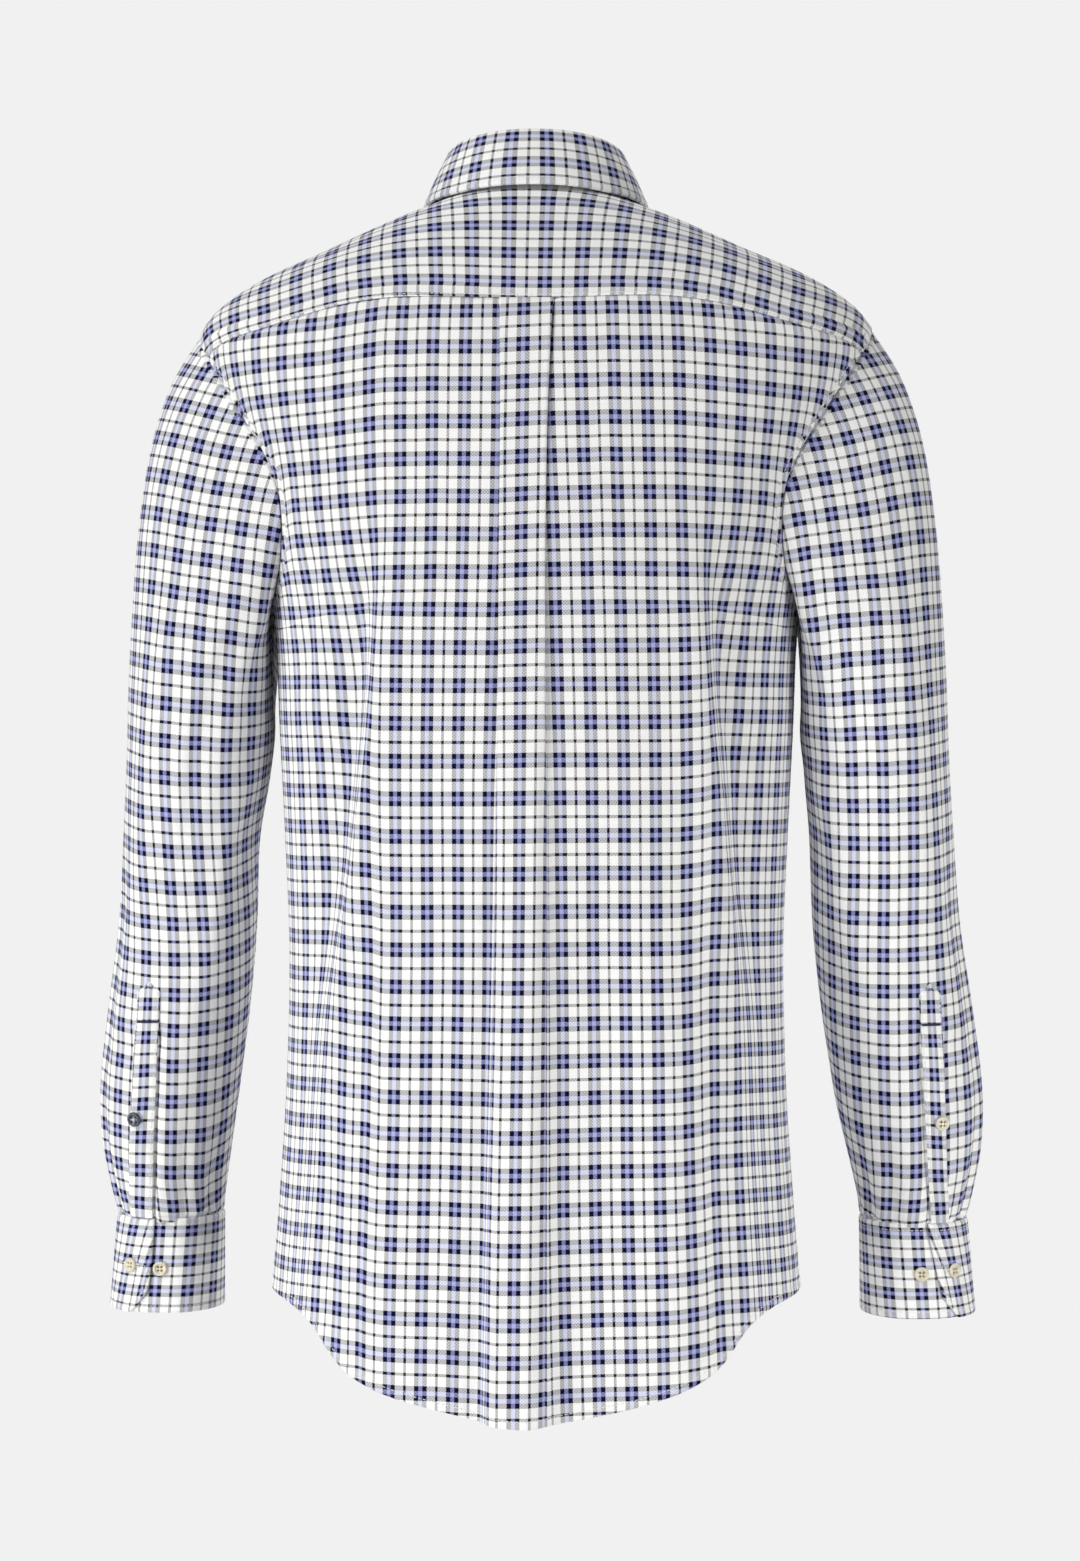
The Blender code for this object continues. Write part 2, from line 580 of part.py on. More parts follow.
def front_places(edge_x):
    """The wearer's left front, from its side seam to the line edge_x from the centre front."""
    turns = np.array([t for t in SLEEVE_TURNS if t <= YOKE_FRONT_TURN])
    left = side_line(turns, BODY_ROWS_BELOW)
    t = np.linspace(0, 1, YOKE_ROWS + 1)[:, None]
    corner = left[-1]
    neck_corner = np.array([YOKE_FRONT_NECK_THETA, 0.0])
    shoulder = corner * (1 - t) + neck_corner * t
    neck_theta = np.linspace(YOKE_FRONT_NECK_THETA, theta_at(edge_x, 0.0), FRONT_NECK_COLUMNS + 1)
    neck = np.stack([neck_theta, np.zeros_like(neck_theta)], axis=-1)
    top = np.concatenate([shoulder[:-1], neck])
    rows = len(left)
    levels = np.linspace(hem_level(180.0), 0.0, rows)
    right = np.stack([theta_at(edge_x, levels), levels], axis=-1)
    bottom_theta = np.linspace(90.0, right[0, 0], len(top))
    bottom = np.stack([bottom_theta, hem_level(np.minimum(bottom_theta, 180.0))], axis=-1)
    return patch(bottom, top, left, right)


def build_front(name, side):
    """A front, from its side seam to the placket or to just under it."""
    edge_x = PLACKET_HALF if side == LEFT else -UNDER_FRONT_EDGE
    places = front_places(edge_x)
    theta = places[..., 0] * side
    points, normals = body_form(theta, places[..., 1])
    across = points[..., 0] * side
    under = np.zeros(across.shape) if side == LEFT else smooth_step(across, *UNDER_FRONT_BEND)
    rise = -under * (PLACKET_WALL - PLACKET_RISE + UNDER_GAP)
    gaps = ["first_column", "last_row"] + (["last_column"] if side == LEFT else [])
    points = draw_in(points, gaps, GAP / 2)
    return cloth(name, points, normals, rise)


def build_placket():
    """The folded strip that carries the buttonholes, over both fronts."""
    rows = len(front_places(PLACKET_HALF))
    levels = np.linspace(hem_level(180.0), 0.0, rows)
    columns = np.linspace(PLACKET_HALF - GAP, -PLACKET_HALF, 3)
    theta = np.stack([theta_at(x, levels) for x in columns], axis=1)
    points, normals = body_form(theta, np.repeat(levels[:, None], len(columns), axis=1))
    points[-1] += unit(points[-2] - points[-1]) * PLACKET_TOP_GAP
    return cloth("front_placket", points, normals, PLACKET_RISE, PLACKET_WALL)


# ---------------------------------------------------------------- sleeves and cuffs
def sleeve_form(turn, down, side=LEFT):
    """A sleeve's outside, from its armhole (down 0) to the cuff (down 1)."""
    turn, down = np.broadcast_arrays(np.asarray(turn, float), np.asarray(down, float))

    def section(turns, downs):
        ox, oz, ix, iz, my, back, front = np.moveaxis(smooth_read(SLEEVE, 0, downs), -1, 0)
        c, s = np.cos(np.radians(turns)), np.sin(np.radians(turns))
        half = (1 + c) / 2
        if side == RIGHT:
            ix = ix - RIGHT_FULLER * smooth_step(downs, 0.40, 0.56) * smooth_step(downs, 0.98, 0.80)
        return np.stack([ix + (ox - ix) * half, my + np.where(s > 0, back, front) * s,
                         iz + (oz - iz) * half], axis=-1)

    seam = armhole(turn)
    start = body_form(seam[..., 0], seam[..., 1])[0] - section(turn, np.zeros_like(down))
    fade = (1 - smooth_step(down, 0.0, HEAD_FADE))[..., None]
    points = section(turn, down) + start * fade
    return points * np.array([side, 1.0, 1.0])


def wrap_turn(turn):
    """The same turn, from -180 to 180."""
    return (np.asarray(turn) + 180.0) % 360.0 - 180.0


def sleeve_grid(turns, downs, side=LEFT):
    """A sleeve's points and outward normals all round, with its folds."""
    turn, down = np.meshgrid(np.asarray(turns, float), np.asarray(downs, float))
    points = sleeve_form(turn, down, side)
    step, drop = 2.0, 0.008
    around = (sleeve_form(wrap_turn(turn + step), down, side)
              - sleeve_form(wrap_turn(turn - step), down, side))
    along = (sleeve_form(turn, np.minimum(down + drop, 1.0), side)
             - sleeve_form(turn, np.maximum(down - drop, 0.0), side))
    normals = unit(np.cross(around, along))
    outward = np.sign(((points - points.mean(axis=1, keepdims=True)) * normals).sum(axis=-1).mean())
    normals = normals * outward
    rise = fold_height(SLEEVE_FOLDS, turn, down)
    return points + normals * rise[..., None], normals


def build_sleeve(name, side):
    """A sleeve, from just off its armhole seam to the cuff."""
    points, normals = sleeve_grid(SLEEVE_TURNS, SLEEVE_ROWS, side)
    points[0] += unit(points[1] - points[0]) * GAP
    return cloth(name, points, normals, wraps=True)


def build_sleeve_placket(name, side):
    """The pointed strip beside the sleeve's slit, laid on the sleeve."""
    downs = [d for d in SLEEVE_ROWS if d >= SLEEVE_PLACKET_TOP - 1e-9]
    points, normals = sleeve_grid(SLEEVE_TURNS, SLEEVE_ROWS, side)
    first = SLEEVE_ROWS.index(downs[0])
    columns = [SLEEVE_TURNS.index(t) for t in SLEEVE_PLACKET_TURNS]
    strip, lift = points[first:, columns].copy(), normals[first:, columns]
    strip[0, 1] += (points[first - 1, columns[1]] - strip[0, 1]) * SLEEVE_PLACKET_TIP
    strip[-1] += unit(strip[-2] - strip[-1]) * GAP
    return cloth(name, strip, lift, SLEEVE_PLACKET_LIFT, WALL)


def cuff_point(turn, share, side=LEFT):
    """The cuff's outside at a turn, share 0 at its top edge and 1 at its bottom."""
    turn, share = np.broadcast_arrays(np.asarray(turn, float), np.asarray(share, float))
    c, s = np.cos(np.radians(turn)), np.sin(np.radians(turn))
    half_x = CUFF_TOP_HALF[0] + (CUFF_BOTTOM_HALF[0] - CUFF_TOP_HALF[0]) * share
    half_y = CUFF_TOP_HALF[1] + (CUFF_BOTTOM_HALF[1] - CUFF_TOP_HALF[1]) * share
    x = CUFF_MIDDLE_TOP[0] + (CUFF_MIDDLE_BOTTOM[0] - CUFF_MIDDLE_TOP[0]) * share + half_x * c
    y = CUFF_MIDDLE_TOP[1] + (CUFF_MIDDLE_BOTTOM[1] - CUFF_MIDDLE_TOP[1]) * share + half_y * s
    z = CUFF_TOP - GAP + (CUFF_BOTTOM - CUFF_TOP) * share
    normal = unit(np.stack([c / half_x, s / half_y, np.zeros_like(c)], axis=-1))
    flip = np.array([side, 1.0, 1.0])
    return np.stack([x, y, z], axis=-1) * flip, normal * flip


def cuff_drop(way):
    """How far the cuff's cloth lies below its top layer, where one end passes under the other."""
    low, high = CUFF_DROP_WAYS
    return LAYER_STEP * (1 - smooth_step(way, CUFF_EDGE_TURN + low, CUFF_EDGE_TURN + high))


def build_cuff(name, side):
    """The cuff, from its under end round the wrist to its mitred top end."""
    start = CUFF_EDGE_TURN - CUFF_OVERLAP_TURN
    end = CUFF_EDGE_TURN + 360.0
    share = np.linspace(0, 1, CUFF_ROWS + 1)[:, None]
    ends = end - CUFF_EDGE_SLANT * share ** 2
    way = start + (ends - start) * np.linspace(0, 1, CUFF_COLUMNS + 1)[None, :]
    mitre = math.degrees(CUFF_MITRE / CUFF_BOTTOM_HALF[1])
    cut = np.clip((way - (end - CUFF_EDGE_SLANT - mitre)) / mitre, 0.0, 1.0)
    shares = share * (1 - cut * CUFF_MITRE / (CUFF_TOP - CUFF_BOTTOM))
    points, normals = cuff_point(way, shares, side)
    return cloth(name, points, normals, -cuff_drop(way))


# ---------------------------------------------------------------- collar
def stand_base(theta):
    """The neck seam, and the direction straight out from it."""
    points = plain_form(theta, np.zeros_like(np.asarray(theta, float)))
    half, _, back, front, _ = smooth_read(GIRTHS, 0, 0.0)
    depth = np.where(points[..., 1] > 0, back, front)
    out = np.stack([points[..., 0] / half ** 2, points[..., 1] / depth ** 2,
                    np.zeros_like(depth)], axis=-1)
    return points, unit(out)


def stand_height(theta):
    """The stand's height, lower at the front."""
    return STAND_HEIGHT_FRONT + (STAND_HEIGHT_BACK - STAND_HEIGHT_FRONT) * (
        (1 + np.cos(np.radians(theta))) / 2)


def stand_point(theta, share, sunk=0.0):
    """The stand's outside: share 0 at the neck seam and 1 at its top edge."""
    base, out = stand_base(theta)
    height = (stand_height(theta) * share)[..., None]
    inward = (STAND_TAPER * share + SEAM_INSET + sunk)[..., None]
    return base + COLLAR_UP * (height + SEAM_RISE) - out * inward, out


def fall_ways():
    """The way round the fall, from its front edge at the wearer's right to that at the left."""
    return np.array([-FALL_FRONT_THETA, *range(-170, 171, COLLAR_STEP), FALL_FRONT_THETA], float)


def build_stand():
    """The stand, a band round the neck whose ends cross at the front under the collar button."""
    lap = math.degrees(STAND_LAP / STAND_RADIUS)
    ways = [-180.0 - lap, -180.0 - lap / 2, -180.0, *fall_ways(), 180.0, 180.0 + lap / 2, 180.0 + lap]
    theta, share = np.meshgrid(ways, np.linspace(0, 1, STAND_ROWS + 1))
    low, high = STAND_SINK_WAYS
    sunk = (STAND_WALL + UNDER_GAP) * (1 - smooth_step(theta, lap - 180.0 + low, lap - 180.0 + high))
    ends = smooth_step(np.abs(theta), 180.0 - lap * 0.1, 180.0 + lap * 1.02)
    points, out = stand_point(theta, share * (1 - STAND_END_CUT * ends), sunk)
    return cloth("collar_stand", points, out, 0.0, STAND_WALL)


def body_top(points):
    """The height of the body form above or below each point, round the neck."""
    levels = np.linspace(0.0, SHOULDER_END, 60)
    half, side_z, back, front, front_z = np.moveaxis(smooth_read(GIRTHS, 0, levels), -1, 0)
    heights = []
    for x, y, _ in points:
        reach = math.hypot(x, y)
        depth, end_z = (back, levels) if y > 0 else (front, front_z)
        radius = ((abs(x) / reach / half) ** SQUARENESS
                  + (abs(y) / reach / depth) ** SQUARENESS) ** (-1.0 / SQUARENESS)
        share = (radius * abs(x) / reach / half) ** SQUARENESS
        height = end_z + (side_z - end_z) * share
        heights.append(np.interp(reach, radius, height))
    return np.array(heights)


def leaf_end(start, out, length, angle):
    """Where a leaf of this length ends when it leans out from straight down by the angle."""
    return start - COLLAR_UP * (length * np.cos(angle))[:, None] + out * (length * np.sin(angle))[:, None]


def leaf_angles(start, out, length):
    """How far the leaf leans out all round, so that its edge just clears the shoulders."""
    angles = np.full(len(start), LEAF_LEAN)
    for _ in range(60):
        end = leaf_end(start, out, length, angles)
        low = end[:, 2] < body_top(end) + LEAF_CLEAR
        if not low.any():
            break
        angles = np.where(low, angles + math.radians(1.0), angles)
    for _ in range(4):
        spread = np.concatenate([angles[:1], angles, angles[-1:]])
        angles = np.maximum(angles, (spread[:-2] + spread[1:-1] + spread[2:]) / 3)
    return angles


def build_fall():
    """The fall: up from the stand's top edge, over in a roll, and down outside to its points."""
    theta = fall_ways()
    front = smooth_step(np.abs(theta), FALL_LENGTHENS_THETA, FALL_FRONT_THETA)
    length = FALL_LEAF_BACK + (FALL_LEAF_POINT - FALL_LEAF_BACK) * front ** FALL_POINT_POWER
    whole = np.ones_like(theta)
    foot, out = stand_point(theta, whole)
    crest = foot + COLLAR_UP * (GAP + FALL_RISE)
    rows = [foot + COLLAR_UP * GAP, crest]
    for angle in np.radians(ROLL_ANGLES):
        rows.append(crest + (COLLAR_UP * math.sin(angle) + out * (1 - math.cos(angle))) * FALL_ROLL / 2)
    start = crest + out * FALL_ROLL
    swept, swept_out = stand_point(theta - np.sign(theta) * FALL_SPREAD * front, whole)
    end_start = swept + COLLAR_UP * (GAP + FALL_RISE) + swept_out * FALL_ROLL
    angles = leaf_angles(end_start, swept_out, length)
    end = leaf_end(end_start, swept_out, length, angles)
    for share in LEAF_SHARES:
        bow = LEAF_BOW * math.sin(math.pi * share)
        rows.append(start + (end - start) * share + out * bow)
    points = np.array(rows)
    normals = grid_normals(points)
    if (normals[-2] * out).sum() < 0:
        normals = -normals
    return cloth("collar_fall", points, normals, FALL_WALL / 2, FALL_WALL)


# ---------------------------------------------------------------- buttons
def build_button(name, centre, normal, radius, colour):
    """A sewn-on button: a flat disc with a raised, rounded rim round a shallow dish."""
    normal = unit(np.asarray(normal, float))
    across = unit(np.cross(normal, [0.0, 0.0, 1.0]))
    up = np.cross(normal, across)
    points, rings = [], []
    for r, h in BUTTON_PROFILE:
        if r == 0.0:
            rings.append([len(points)] * BUTTON_SIDES)
            points.append(centre + normal * h * BUTTON_THICK)
            continue
        rings.append(list(range(len(points), len(points) + BUTTON_SIDES)))
        for k in range(BUTTON_SIDES):
            a = 2 * math.pi * k / BUTTON_SIDES
            points.append(centre + normal * h * BUTTON_THICK
                          + (across * math.cos(a) + up * math.sin(a)) * r * radius)
    faces = []
    for low, high in zip(rings, rings[1:]):
        for k in range(BUTTON_SIDES):
            n = (k + 1) % BUTTON_SIDES
            corners = [low[k], low[n], high[n], high[k]]
            faces.append(tuple(dict.fromkeys(corners)))
    thing = solid(name, points, faces)
    paint(thing, "shell_" + name, colour, 0.3)
    return thing


def build_front_buttons():
    """The buttons down the front placket, and the one on the collar stand."""
    levels = np.linspace(hem_level(180.0), 0.0, 400)
    points, normals = body_form(np.full(len(levels), 180.0), levels)
    lifted = points + normals * (PLACKET_RISE + BUTTON_LIFT)
    for k in range(FRONT_BUTTONS):
        height = FRONT_BUTTON_TOP - k * FRONT_BUTTON_STEP
        i = int(np.argmin(np.abs(points[:, 2] - height)))
        build_button(f"button_front_{k + 1}", lifted[i], normals[i], BUTTON_RADIUS, BUTTON_CREAM)
    point, out = stand_point(np.array([180.0]), np.array([0.5]))
    build_button("button_collar", point[0] + out[0] * COLLAR_BUTTON_LIFT, out[0],
                 SMALL_BUTTON_RADIUS, BUTTON_CREAM)


def build_sleeve_buttons(label, side, placket_colour):
    """One button on a sleeve's placket, and two on its cuff."""
    points, normals = sleeve_grid(SLEEVE_TURNS, SLEEVE_ROWS, side)
    column = SLEEVE_TURNS.index(SLEEVE_PLACKET_TURNS[1])
    above, below = (SLEEVE_ROWS.index(row) for row in SLEEVE_BUTTON_ROWS)
    raised = points[:, column] + normals[:, column] * (SLEEVE_PLACKET_LIFT + BUTTON_LIFT)
    centre = raised[above] + (raised[below] - raised[above]) * SLEEVE_BUTTON_SHARE
    normal = normals[above, column] + normals[below, column]
    build_button(f"button_sleeve_placket_{label}", centre, normal, SMALL_BUTTON_RADIUS, placket_colour)
    for k, turn in enumerate(CUFF_BUTTON_TURNS):
        point, out = cuff_point(turn, CUFF_BUTTON_SHARE + CUFF_BUTTON_FALL * k, side)
        # The second button is sewn to the end that passes under.
        drop = cuff_drop(turn) if k else 0.0
        build_button(f"button_cuff_{label}_{k + 1}", point + out * (CUFF_BUTTON_LIFT - drop), out,
                     SMALL_BUTTON_RADIUS, BUTTON_CREAM)


def main():
    for thing in list(bpy.data.objects):
        bpy.data.objects.remove(thing)
    build_back()
    build_yoke()
    build_front("front_left", LEFT)
    build_front("front_right", RIGHT)
    build_placket()
    build_sleeve("sleeve_left", LEFT)
    build_sleeve("sleeve_right", RIGHT)
    build_sleeve_placket("sleeve_placket_left", LEFT)
    build_sleeve_placket("sleeve_placket_right", RIGHT)
    build_cuff("cuff_left", LEFT)
    build_cuff("cuff_right", RIGHT)
    build_stand()
    build_fall()
    build_front_buttons()
    build_sleeve_buttons("left", LEFT, BUTTON_NAVY)
    build_sleeve_buttons("right", RIGHT, BUTTON_CREAM)


if __name__ == "__main__":
    main()
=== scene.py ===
"""A long-sleeved checked shirt, filled out and hollow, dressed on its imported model.

Metres, +Z up. The front faces -Y, the wearer's left is +X, and the camera looks at the back. Each
piece of cloth is a fine grid of points on the form of its solid, with its creases, seams and hems
raised on it. It also carries its place on the flat cloth that it was cut from, so that the woven
check runs over it as it does on a sewn shirt.
"""
import logging
import math
from dataclasses import dataclass, field
from enum import Enum
from typing import NamedTuple

import bpy
import numpy as np
from bpy.types import Material, Node, NodeSocket, NodeTree, Object
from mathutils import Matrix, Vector


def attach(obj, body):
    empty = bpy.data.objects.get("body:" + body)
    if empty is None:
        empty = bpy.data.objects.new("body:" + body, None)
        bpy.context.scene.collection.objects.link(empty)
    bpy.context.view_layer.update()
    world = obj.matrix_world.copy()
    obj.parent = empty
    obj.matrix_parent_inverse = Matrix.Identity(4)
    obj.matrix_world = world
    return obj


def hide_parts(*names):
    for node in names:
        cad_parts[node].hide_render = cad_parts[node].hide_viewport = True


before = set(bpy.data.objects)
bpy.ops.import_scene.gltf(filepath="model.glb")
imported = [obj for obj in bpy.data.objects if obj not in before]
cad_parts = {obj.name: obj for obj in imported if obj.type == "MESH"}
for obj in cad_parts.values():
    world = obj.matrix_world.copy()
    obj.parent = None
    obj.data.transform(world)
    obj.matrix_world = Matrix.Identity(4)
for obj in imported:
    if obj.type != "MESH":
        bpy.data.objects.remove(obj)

Array = np.ndarray
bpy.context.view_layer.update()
LOG = logging.getLogger("shirt")
MM = 0.001
UP = np.array([0.0, 0.0, 1.0])
BODY = "root"


# ---------------------------------------------------------------- named choices and table rows
class Side(Enum):
    """The wearer's own sides. The value is the sign of X there."""
    LEFT = 1.0
    RIGHT = -1.0

    @property
    def label(self) -> str:
        """The side's name, as the nodes carry it."""
        return self.name.lower()


class Cut(Enum):
    """Which way the length of the cloth runs on a piece."""
    LENGTHWISE = "up the piece"
    CROSSWISE = "across the piece"


class Edge(Enum):
    """An edge of a grid: the axis that leads away from it, and the end that it lies at."""
    FIRST_ROW = (0, 0)
    LAST_ROW = (0, -1)
    FIRST_COLUMN = (1, 0)
    LAST_COLUMN = (1, -1)

    def line(self, values: Array) -> Array:
        """The values along the edge."""
        axis, end = self.value
        return np.take(values, end, axis)

    def distance(self, points: Array) -> Array:
        """How far each point lies from the edge, along the grid's own lines.

        Args:
            points: the grid, rows by columns by 3.

        Returns:
            The distances, rows by columns.
        """
        axis, end = self.value
        steps = np.linalg.norm(np.diff(points, axis=axis), axis=-1)
        if end:
            steps = np.flip(steps, axis)
        start = np.zeros_like(np.take(steps, [0], axis))
        away = np.cumsum(np.concatenate([start, steps], axis), axis)
        return np.flip(away, axis) if end else away

    def along(self, points: Array) -> Array:
        """How far along the edge each line of the grid starts, shaped to spread over the grid."""
        run = arc_lengths(self.line(points))
        return run[None, :] if self.value[0] == 0 else run[:, None]


class Girth(NamedTuple):
    """One girth round the body form. Heights are Z, and depths run back or forward."""
    level: float
    half_width: float
    side_height: float
    back_depth: float
    front_depth: float
    front_height: float


class Place(NamedTuple):
    """A place on the body form: degrees round from the centre back, and level."""
    theta: float
    level: float


class ArmholePoint(NamedTuple):
    """A point on the armhole seam. Turn is 0 on the shoulder, 90 behind and 180 under the arm."""
    turn: float
    theta: float
    level: float


class SleeveSection(NamedTuple):
    """One section through a sleeve: its outer and inner lines seen from behind, and its depths."""
    down: float
    outer_x: float
    outer_z: float
    inner_x: float
    inner_z: float
    middle_y: float
    back_half: float
    front_half: float


class PleatRow(NamedTuple):
    """The box pleat at one height: its edges, its rise, its flanks, the cloth folded in and
    how deep the shaded grooves beside it are."""
    z: float
    left_x: float
    right_x: float
    rise: float
    left_flank: float
    right_flank: float
    left_cloth: float
    right_cloth: float
    left_groove: float
    right_groove: float


class FoldUnder(NamedTuple):
    """The pressed pleat's section past its edge: how far it slips under, and its height left."""
    past: float
    slip: float
    height: float


class TakenIn(NamedTuple):
    """The two long side folds of the back at one height, and the cloth that each takes up."""
    z: float
    left_x: float
    right_x: float
    cloth: float


class Crease(NamedTuple):
    """A soft crease, through three places of along and across.

    Lean above 0 widens the side of growing across, so the other side is the steep one.
    """
    top: float
    top_across: float
    middle: float
    middle_across: float
    bottom: float
    bottom_across: float
    rise: float
    half_width: float
    lean: float = 0.0


class BackEase(NamedTuple):
    """How far the back's rows of check lie off a plain lay: at one height, at BACK_EASE_AT."""
    z: float
    far_left: float
    left: float
    middle: float
    right: float
    far_right: float


class SleeveEase(NamedTuple):
    """How far a sleeve's check lies off a plain lay: across it, and along it at SLEEVE_EASE_AT."""
    z: float
    across: float
    outer: float
    middle: float
    inner: float


class Softbox(NamedTuple):
    """A soft studio lamp."""
    name: str
    at: tuple[float, float, float]
    size: float
    power: float


class StripRow(NamedTuple):
    """The sleeve's placket strip at one way down: the turns of its two edges."""
    down: float
    low: float
    high: float


class CuffEnd(NamedTuple):
    """Where a cuff's top layer ends, how that edge slants, and the turns of its two buttons."""
    turn: float
    slant: float
    power: float
    buttons: tuple[float, float]


class EdgeWork(NamedTuple):
    """How an edge is sewn: its folded band, and what the stitching does to the cloth."""
    band: float
    lift: float
    roll: float
    ditch: float
    pucker: float


def name_rows(kind: type, rows: tuple, in_mm: tuple[int, ...] | range = ()) -> tuple:
    """Names the values of a table's rows.

    Args:
        kind: what each row is.
        rows: the rows.
        in_mm: the columns that are given in millimetres, and turn to metres.

    Returns:
        The named rows.
    """
    return tuple(kind(*(value * MM if k in in_mm else value for k, value in enumerate(row)))
                 for row in rows)


HEMMED = EdgeWork(5.0 * MM, 0.35 * MM, 0.45 * MM, 0.25 * MM, 0.45 * MM)
FELLED = EdgeWork(5.5 * MM, 0.35 * MM, 0.30 * MM, 0.22 * MM, 0.14 * MM)
TURNED = EdgeWork(4.6 * MM, 0.10 * MM, 0.60 * MM, 0.22 * MM, 0.12 * MM)
TUCKED = EdgeWork(0.3 * MM, -1.05 * MM, 0.0, 0.0, 0.0)
GATHERED = EdgeWork(4.0 * MM, 0.0, 0.0, 0.0, 0.55 * MM)
STRIP_EDGE = EdgeWork(1.6 * MM, 0.0, 0.4 * MM, 0.15 * MM, 0.05 * MM)
LAP_SINK = 0.2 * MM         # how much lower a lapped edge lies than the cloth over it
SETTLE_LINES = 46           # lines each way of the thinned grid on which cloth is laid flat
SETTLE_DRAG = 0.85          # the share of its speed that settling cloth keeps
# How far the columns beside the pleat stand out from its edges, in mm.
PLEAT_COLUMNS = (0.0, 0.12, 0.25, 0.38, 0.5, 0.7, 0.9, 1.15, 1.4, 1.7, 2.0, 2.5, 3.0, 3.7, 4.5,
                 5.5, 6.5, 8.0, 9.5, 11.0, 13.0, 15.0, 17.0, 19.0, 21.5, 24.0, 27.0)
STITCH_PITCH = 2.9 * MM     # from one stitch to the next
STITCH_LENGTH = 2.2 * MM
SMALL_BUTTON = 4.7 * MM     # the radius of the buttons on the sleeves and the collar
COLUMNS = (Edge.FIRST_COLUMN, Edge.LAST_COLUMN)
CREASE_FADE = 0.35      # the share of a crease's length over which each of its ends dies away

GIRTHS = name_rows(Girth, (
    # level  half_w  side_z  back    front   front_z
    (-0.800, 0.1700, -0.800, 0.1230, 0.1180, -0.800),
    (-0.700, 0.1685, -0.700, 0.1215, 0.1165, -0.700),
    (-0.640, 0.1640, -0.640, 0.1190, 0.1140, -0.640),
    (-0.560, 0.1590, -0.560, 0.1130, 0.1110, -0.560),
    (-0.480, 0.1575, -0.480, 0.1085, 0.1105, -0.480),
    (-0.410, 0.1600, -0.410, 0.1100, 0.1150, -0.410),
    (-0.340, 0.1635, -0.340, 0.1150, 0.1230, -0.340),
    (-0.290, 0.1655, -0.290, 0.1185, 0.1290, -0.290),
    (-0.262, 0.1680, -0.262, 0.1200, 0.1310, -0.264),
    (-0.230, 0.1730, -0.230, 0.1205, 0.1310, -0.236),
    (-0.190, 0.1820, -0.178, 0.1200, 0.1285, -0.205),
    (-0.150, 0.2040, -0.128, 0.1180, 0.1230, -0.177),
    (-0.122, 0.2140, -0.100, 0.1155, 0.1170, -0.158),
    (-0.104, 0.2130, -0.084, 0.1130, 0.1120, -0.146),
    (-0.084, 0.2000, -0.0685, 0.1080, 0.1050, -0.132),
    (-0.062, 0.1730, -0.0515, 0.1010, 0.0965, -0.117),
    (-0.040, 0.1370, -0.0360, 0.0920, 0.0875, -0.103),
    (-0.018, 0.0930, -0.0165, 0.0790, 0.0775, -0.090),
    (0.000, 0.0565, -0.004, 0.0650, 0.0680, -0.078),
))
ARMHOLE = name_rows(ArmholePoint, (
    # turn theta  level
    (-180, 90.0, -0.2630),
    (-155, 105.0, -0.2540),
    (-127, 116.5, -0.2290),
    (-100, 121.0, -0.2000),
    (-75, 119.0, -0.1730),
    (-50, 113.5, -0.1470),
    (-25, 105.5, -0.1230),
    (0, 90.0, -0.1040),
    (27, 74.0, -0.1240),
    (53, 66.0, -0.1500),
    (78, 61.0, -0.1790),
    (104, 59.5, -0.2060),
    (130, 64.0, -0.2340),
    (155, 75.0, -0.2550),
    (180, 90.0, -0.2630),
))
YOKE_BACK_SEAM = name_rows(Place, (
    (0, -0.0780), (20, -0.0775), (31, -0.0825), (40, -0.0920),
    (48, -0.1015), (61, -0.1130), (74, -0.1240)))
HEM = name_rows(Place, (
    (0, -0.7593), (9, -0.7560), (25, -0.7457), (36, -0.7356),
    (43, -0.7250), (50, -0.7085), (56, -0.7000), (66, -0.6945),
    (90, -0.6930), (114, -0.6955), (126, -0.7040), (134, -0.7130),
    (144, -0.7220), (158, -0.7300), (180, -0.7350)))
SLEEVE = name_rows(SleeveSection, (
    # down outer_x  outer_z inner_x  inner_z  mid_y  back   front
    (0.00, 0.2130, -0.0840, 0.1684, -0.2640, 0.004, 0.070, 0.066),
    (0.06, 0.2320, -0.1150, 0.1700, -0.2760, 0.005, 0.069, 0.066),
    (0.12, 0.2450, -0.1536, 0.1697, -0.2920, 0.005, 0.067, 0.066),
    (0.20, 0.2534, -0.2048, 0.1692, -0.3080, 0.004, 0.066, 0.065),
    (0.28, 0.2579, -0.2560, 0.1690, -0.3250, 0.003, 0.065, 0.064),
    (0.36, 0.2610, -0.3070, 0.1686, -0.3440, 0.001, 0.063, 0.062),
    (0.44, 0.2630, -0.3580, 0.1722, -0.3710, -0.002, 0.060, 0.059),
    (0.53, 0.2665, -0.4100, 0.1793, -0.4100, -0.008, 0.055, 0.055),
    (0.62, 0.2712, -0.4627, 0.1820, -0.4627, -0.016, 0.050, 0.051),
    (0.71, 0.2795, -0.5138, 0.1875, -0.5138, -0.026, 0.047, 0.049),
    (0.80, 0.2870, -0.5655, 0.1955, -0.5655, -0.037, 0.045, 0.047),
    (0.88, 0.2875, -0.6052, 0.2020, -0.6052, -0.045, 0.044, 0.046),
    (0.945, 0.2825, -0.6370, 0.2072, -0.6370, -0.051, 0.043, 0.044),
    (1.00, 0.2782, -0.6548, 0.2098, -0.6548, -0.054, 0.042, 0.042),
))
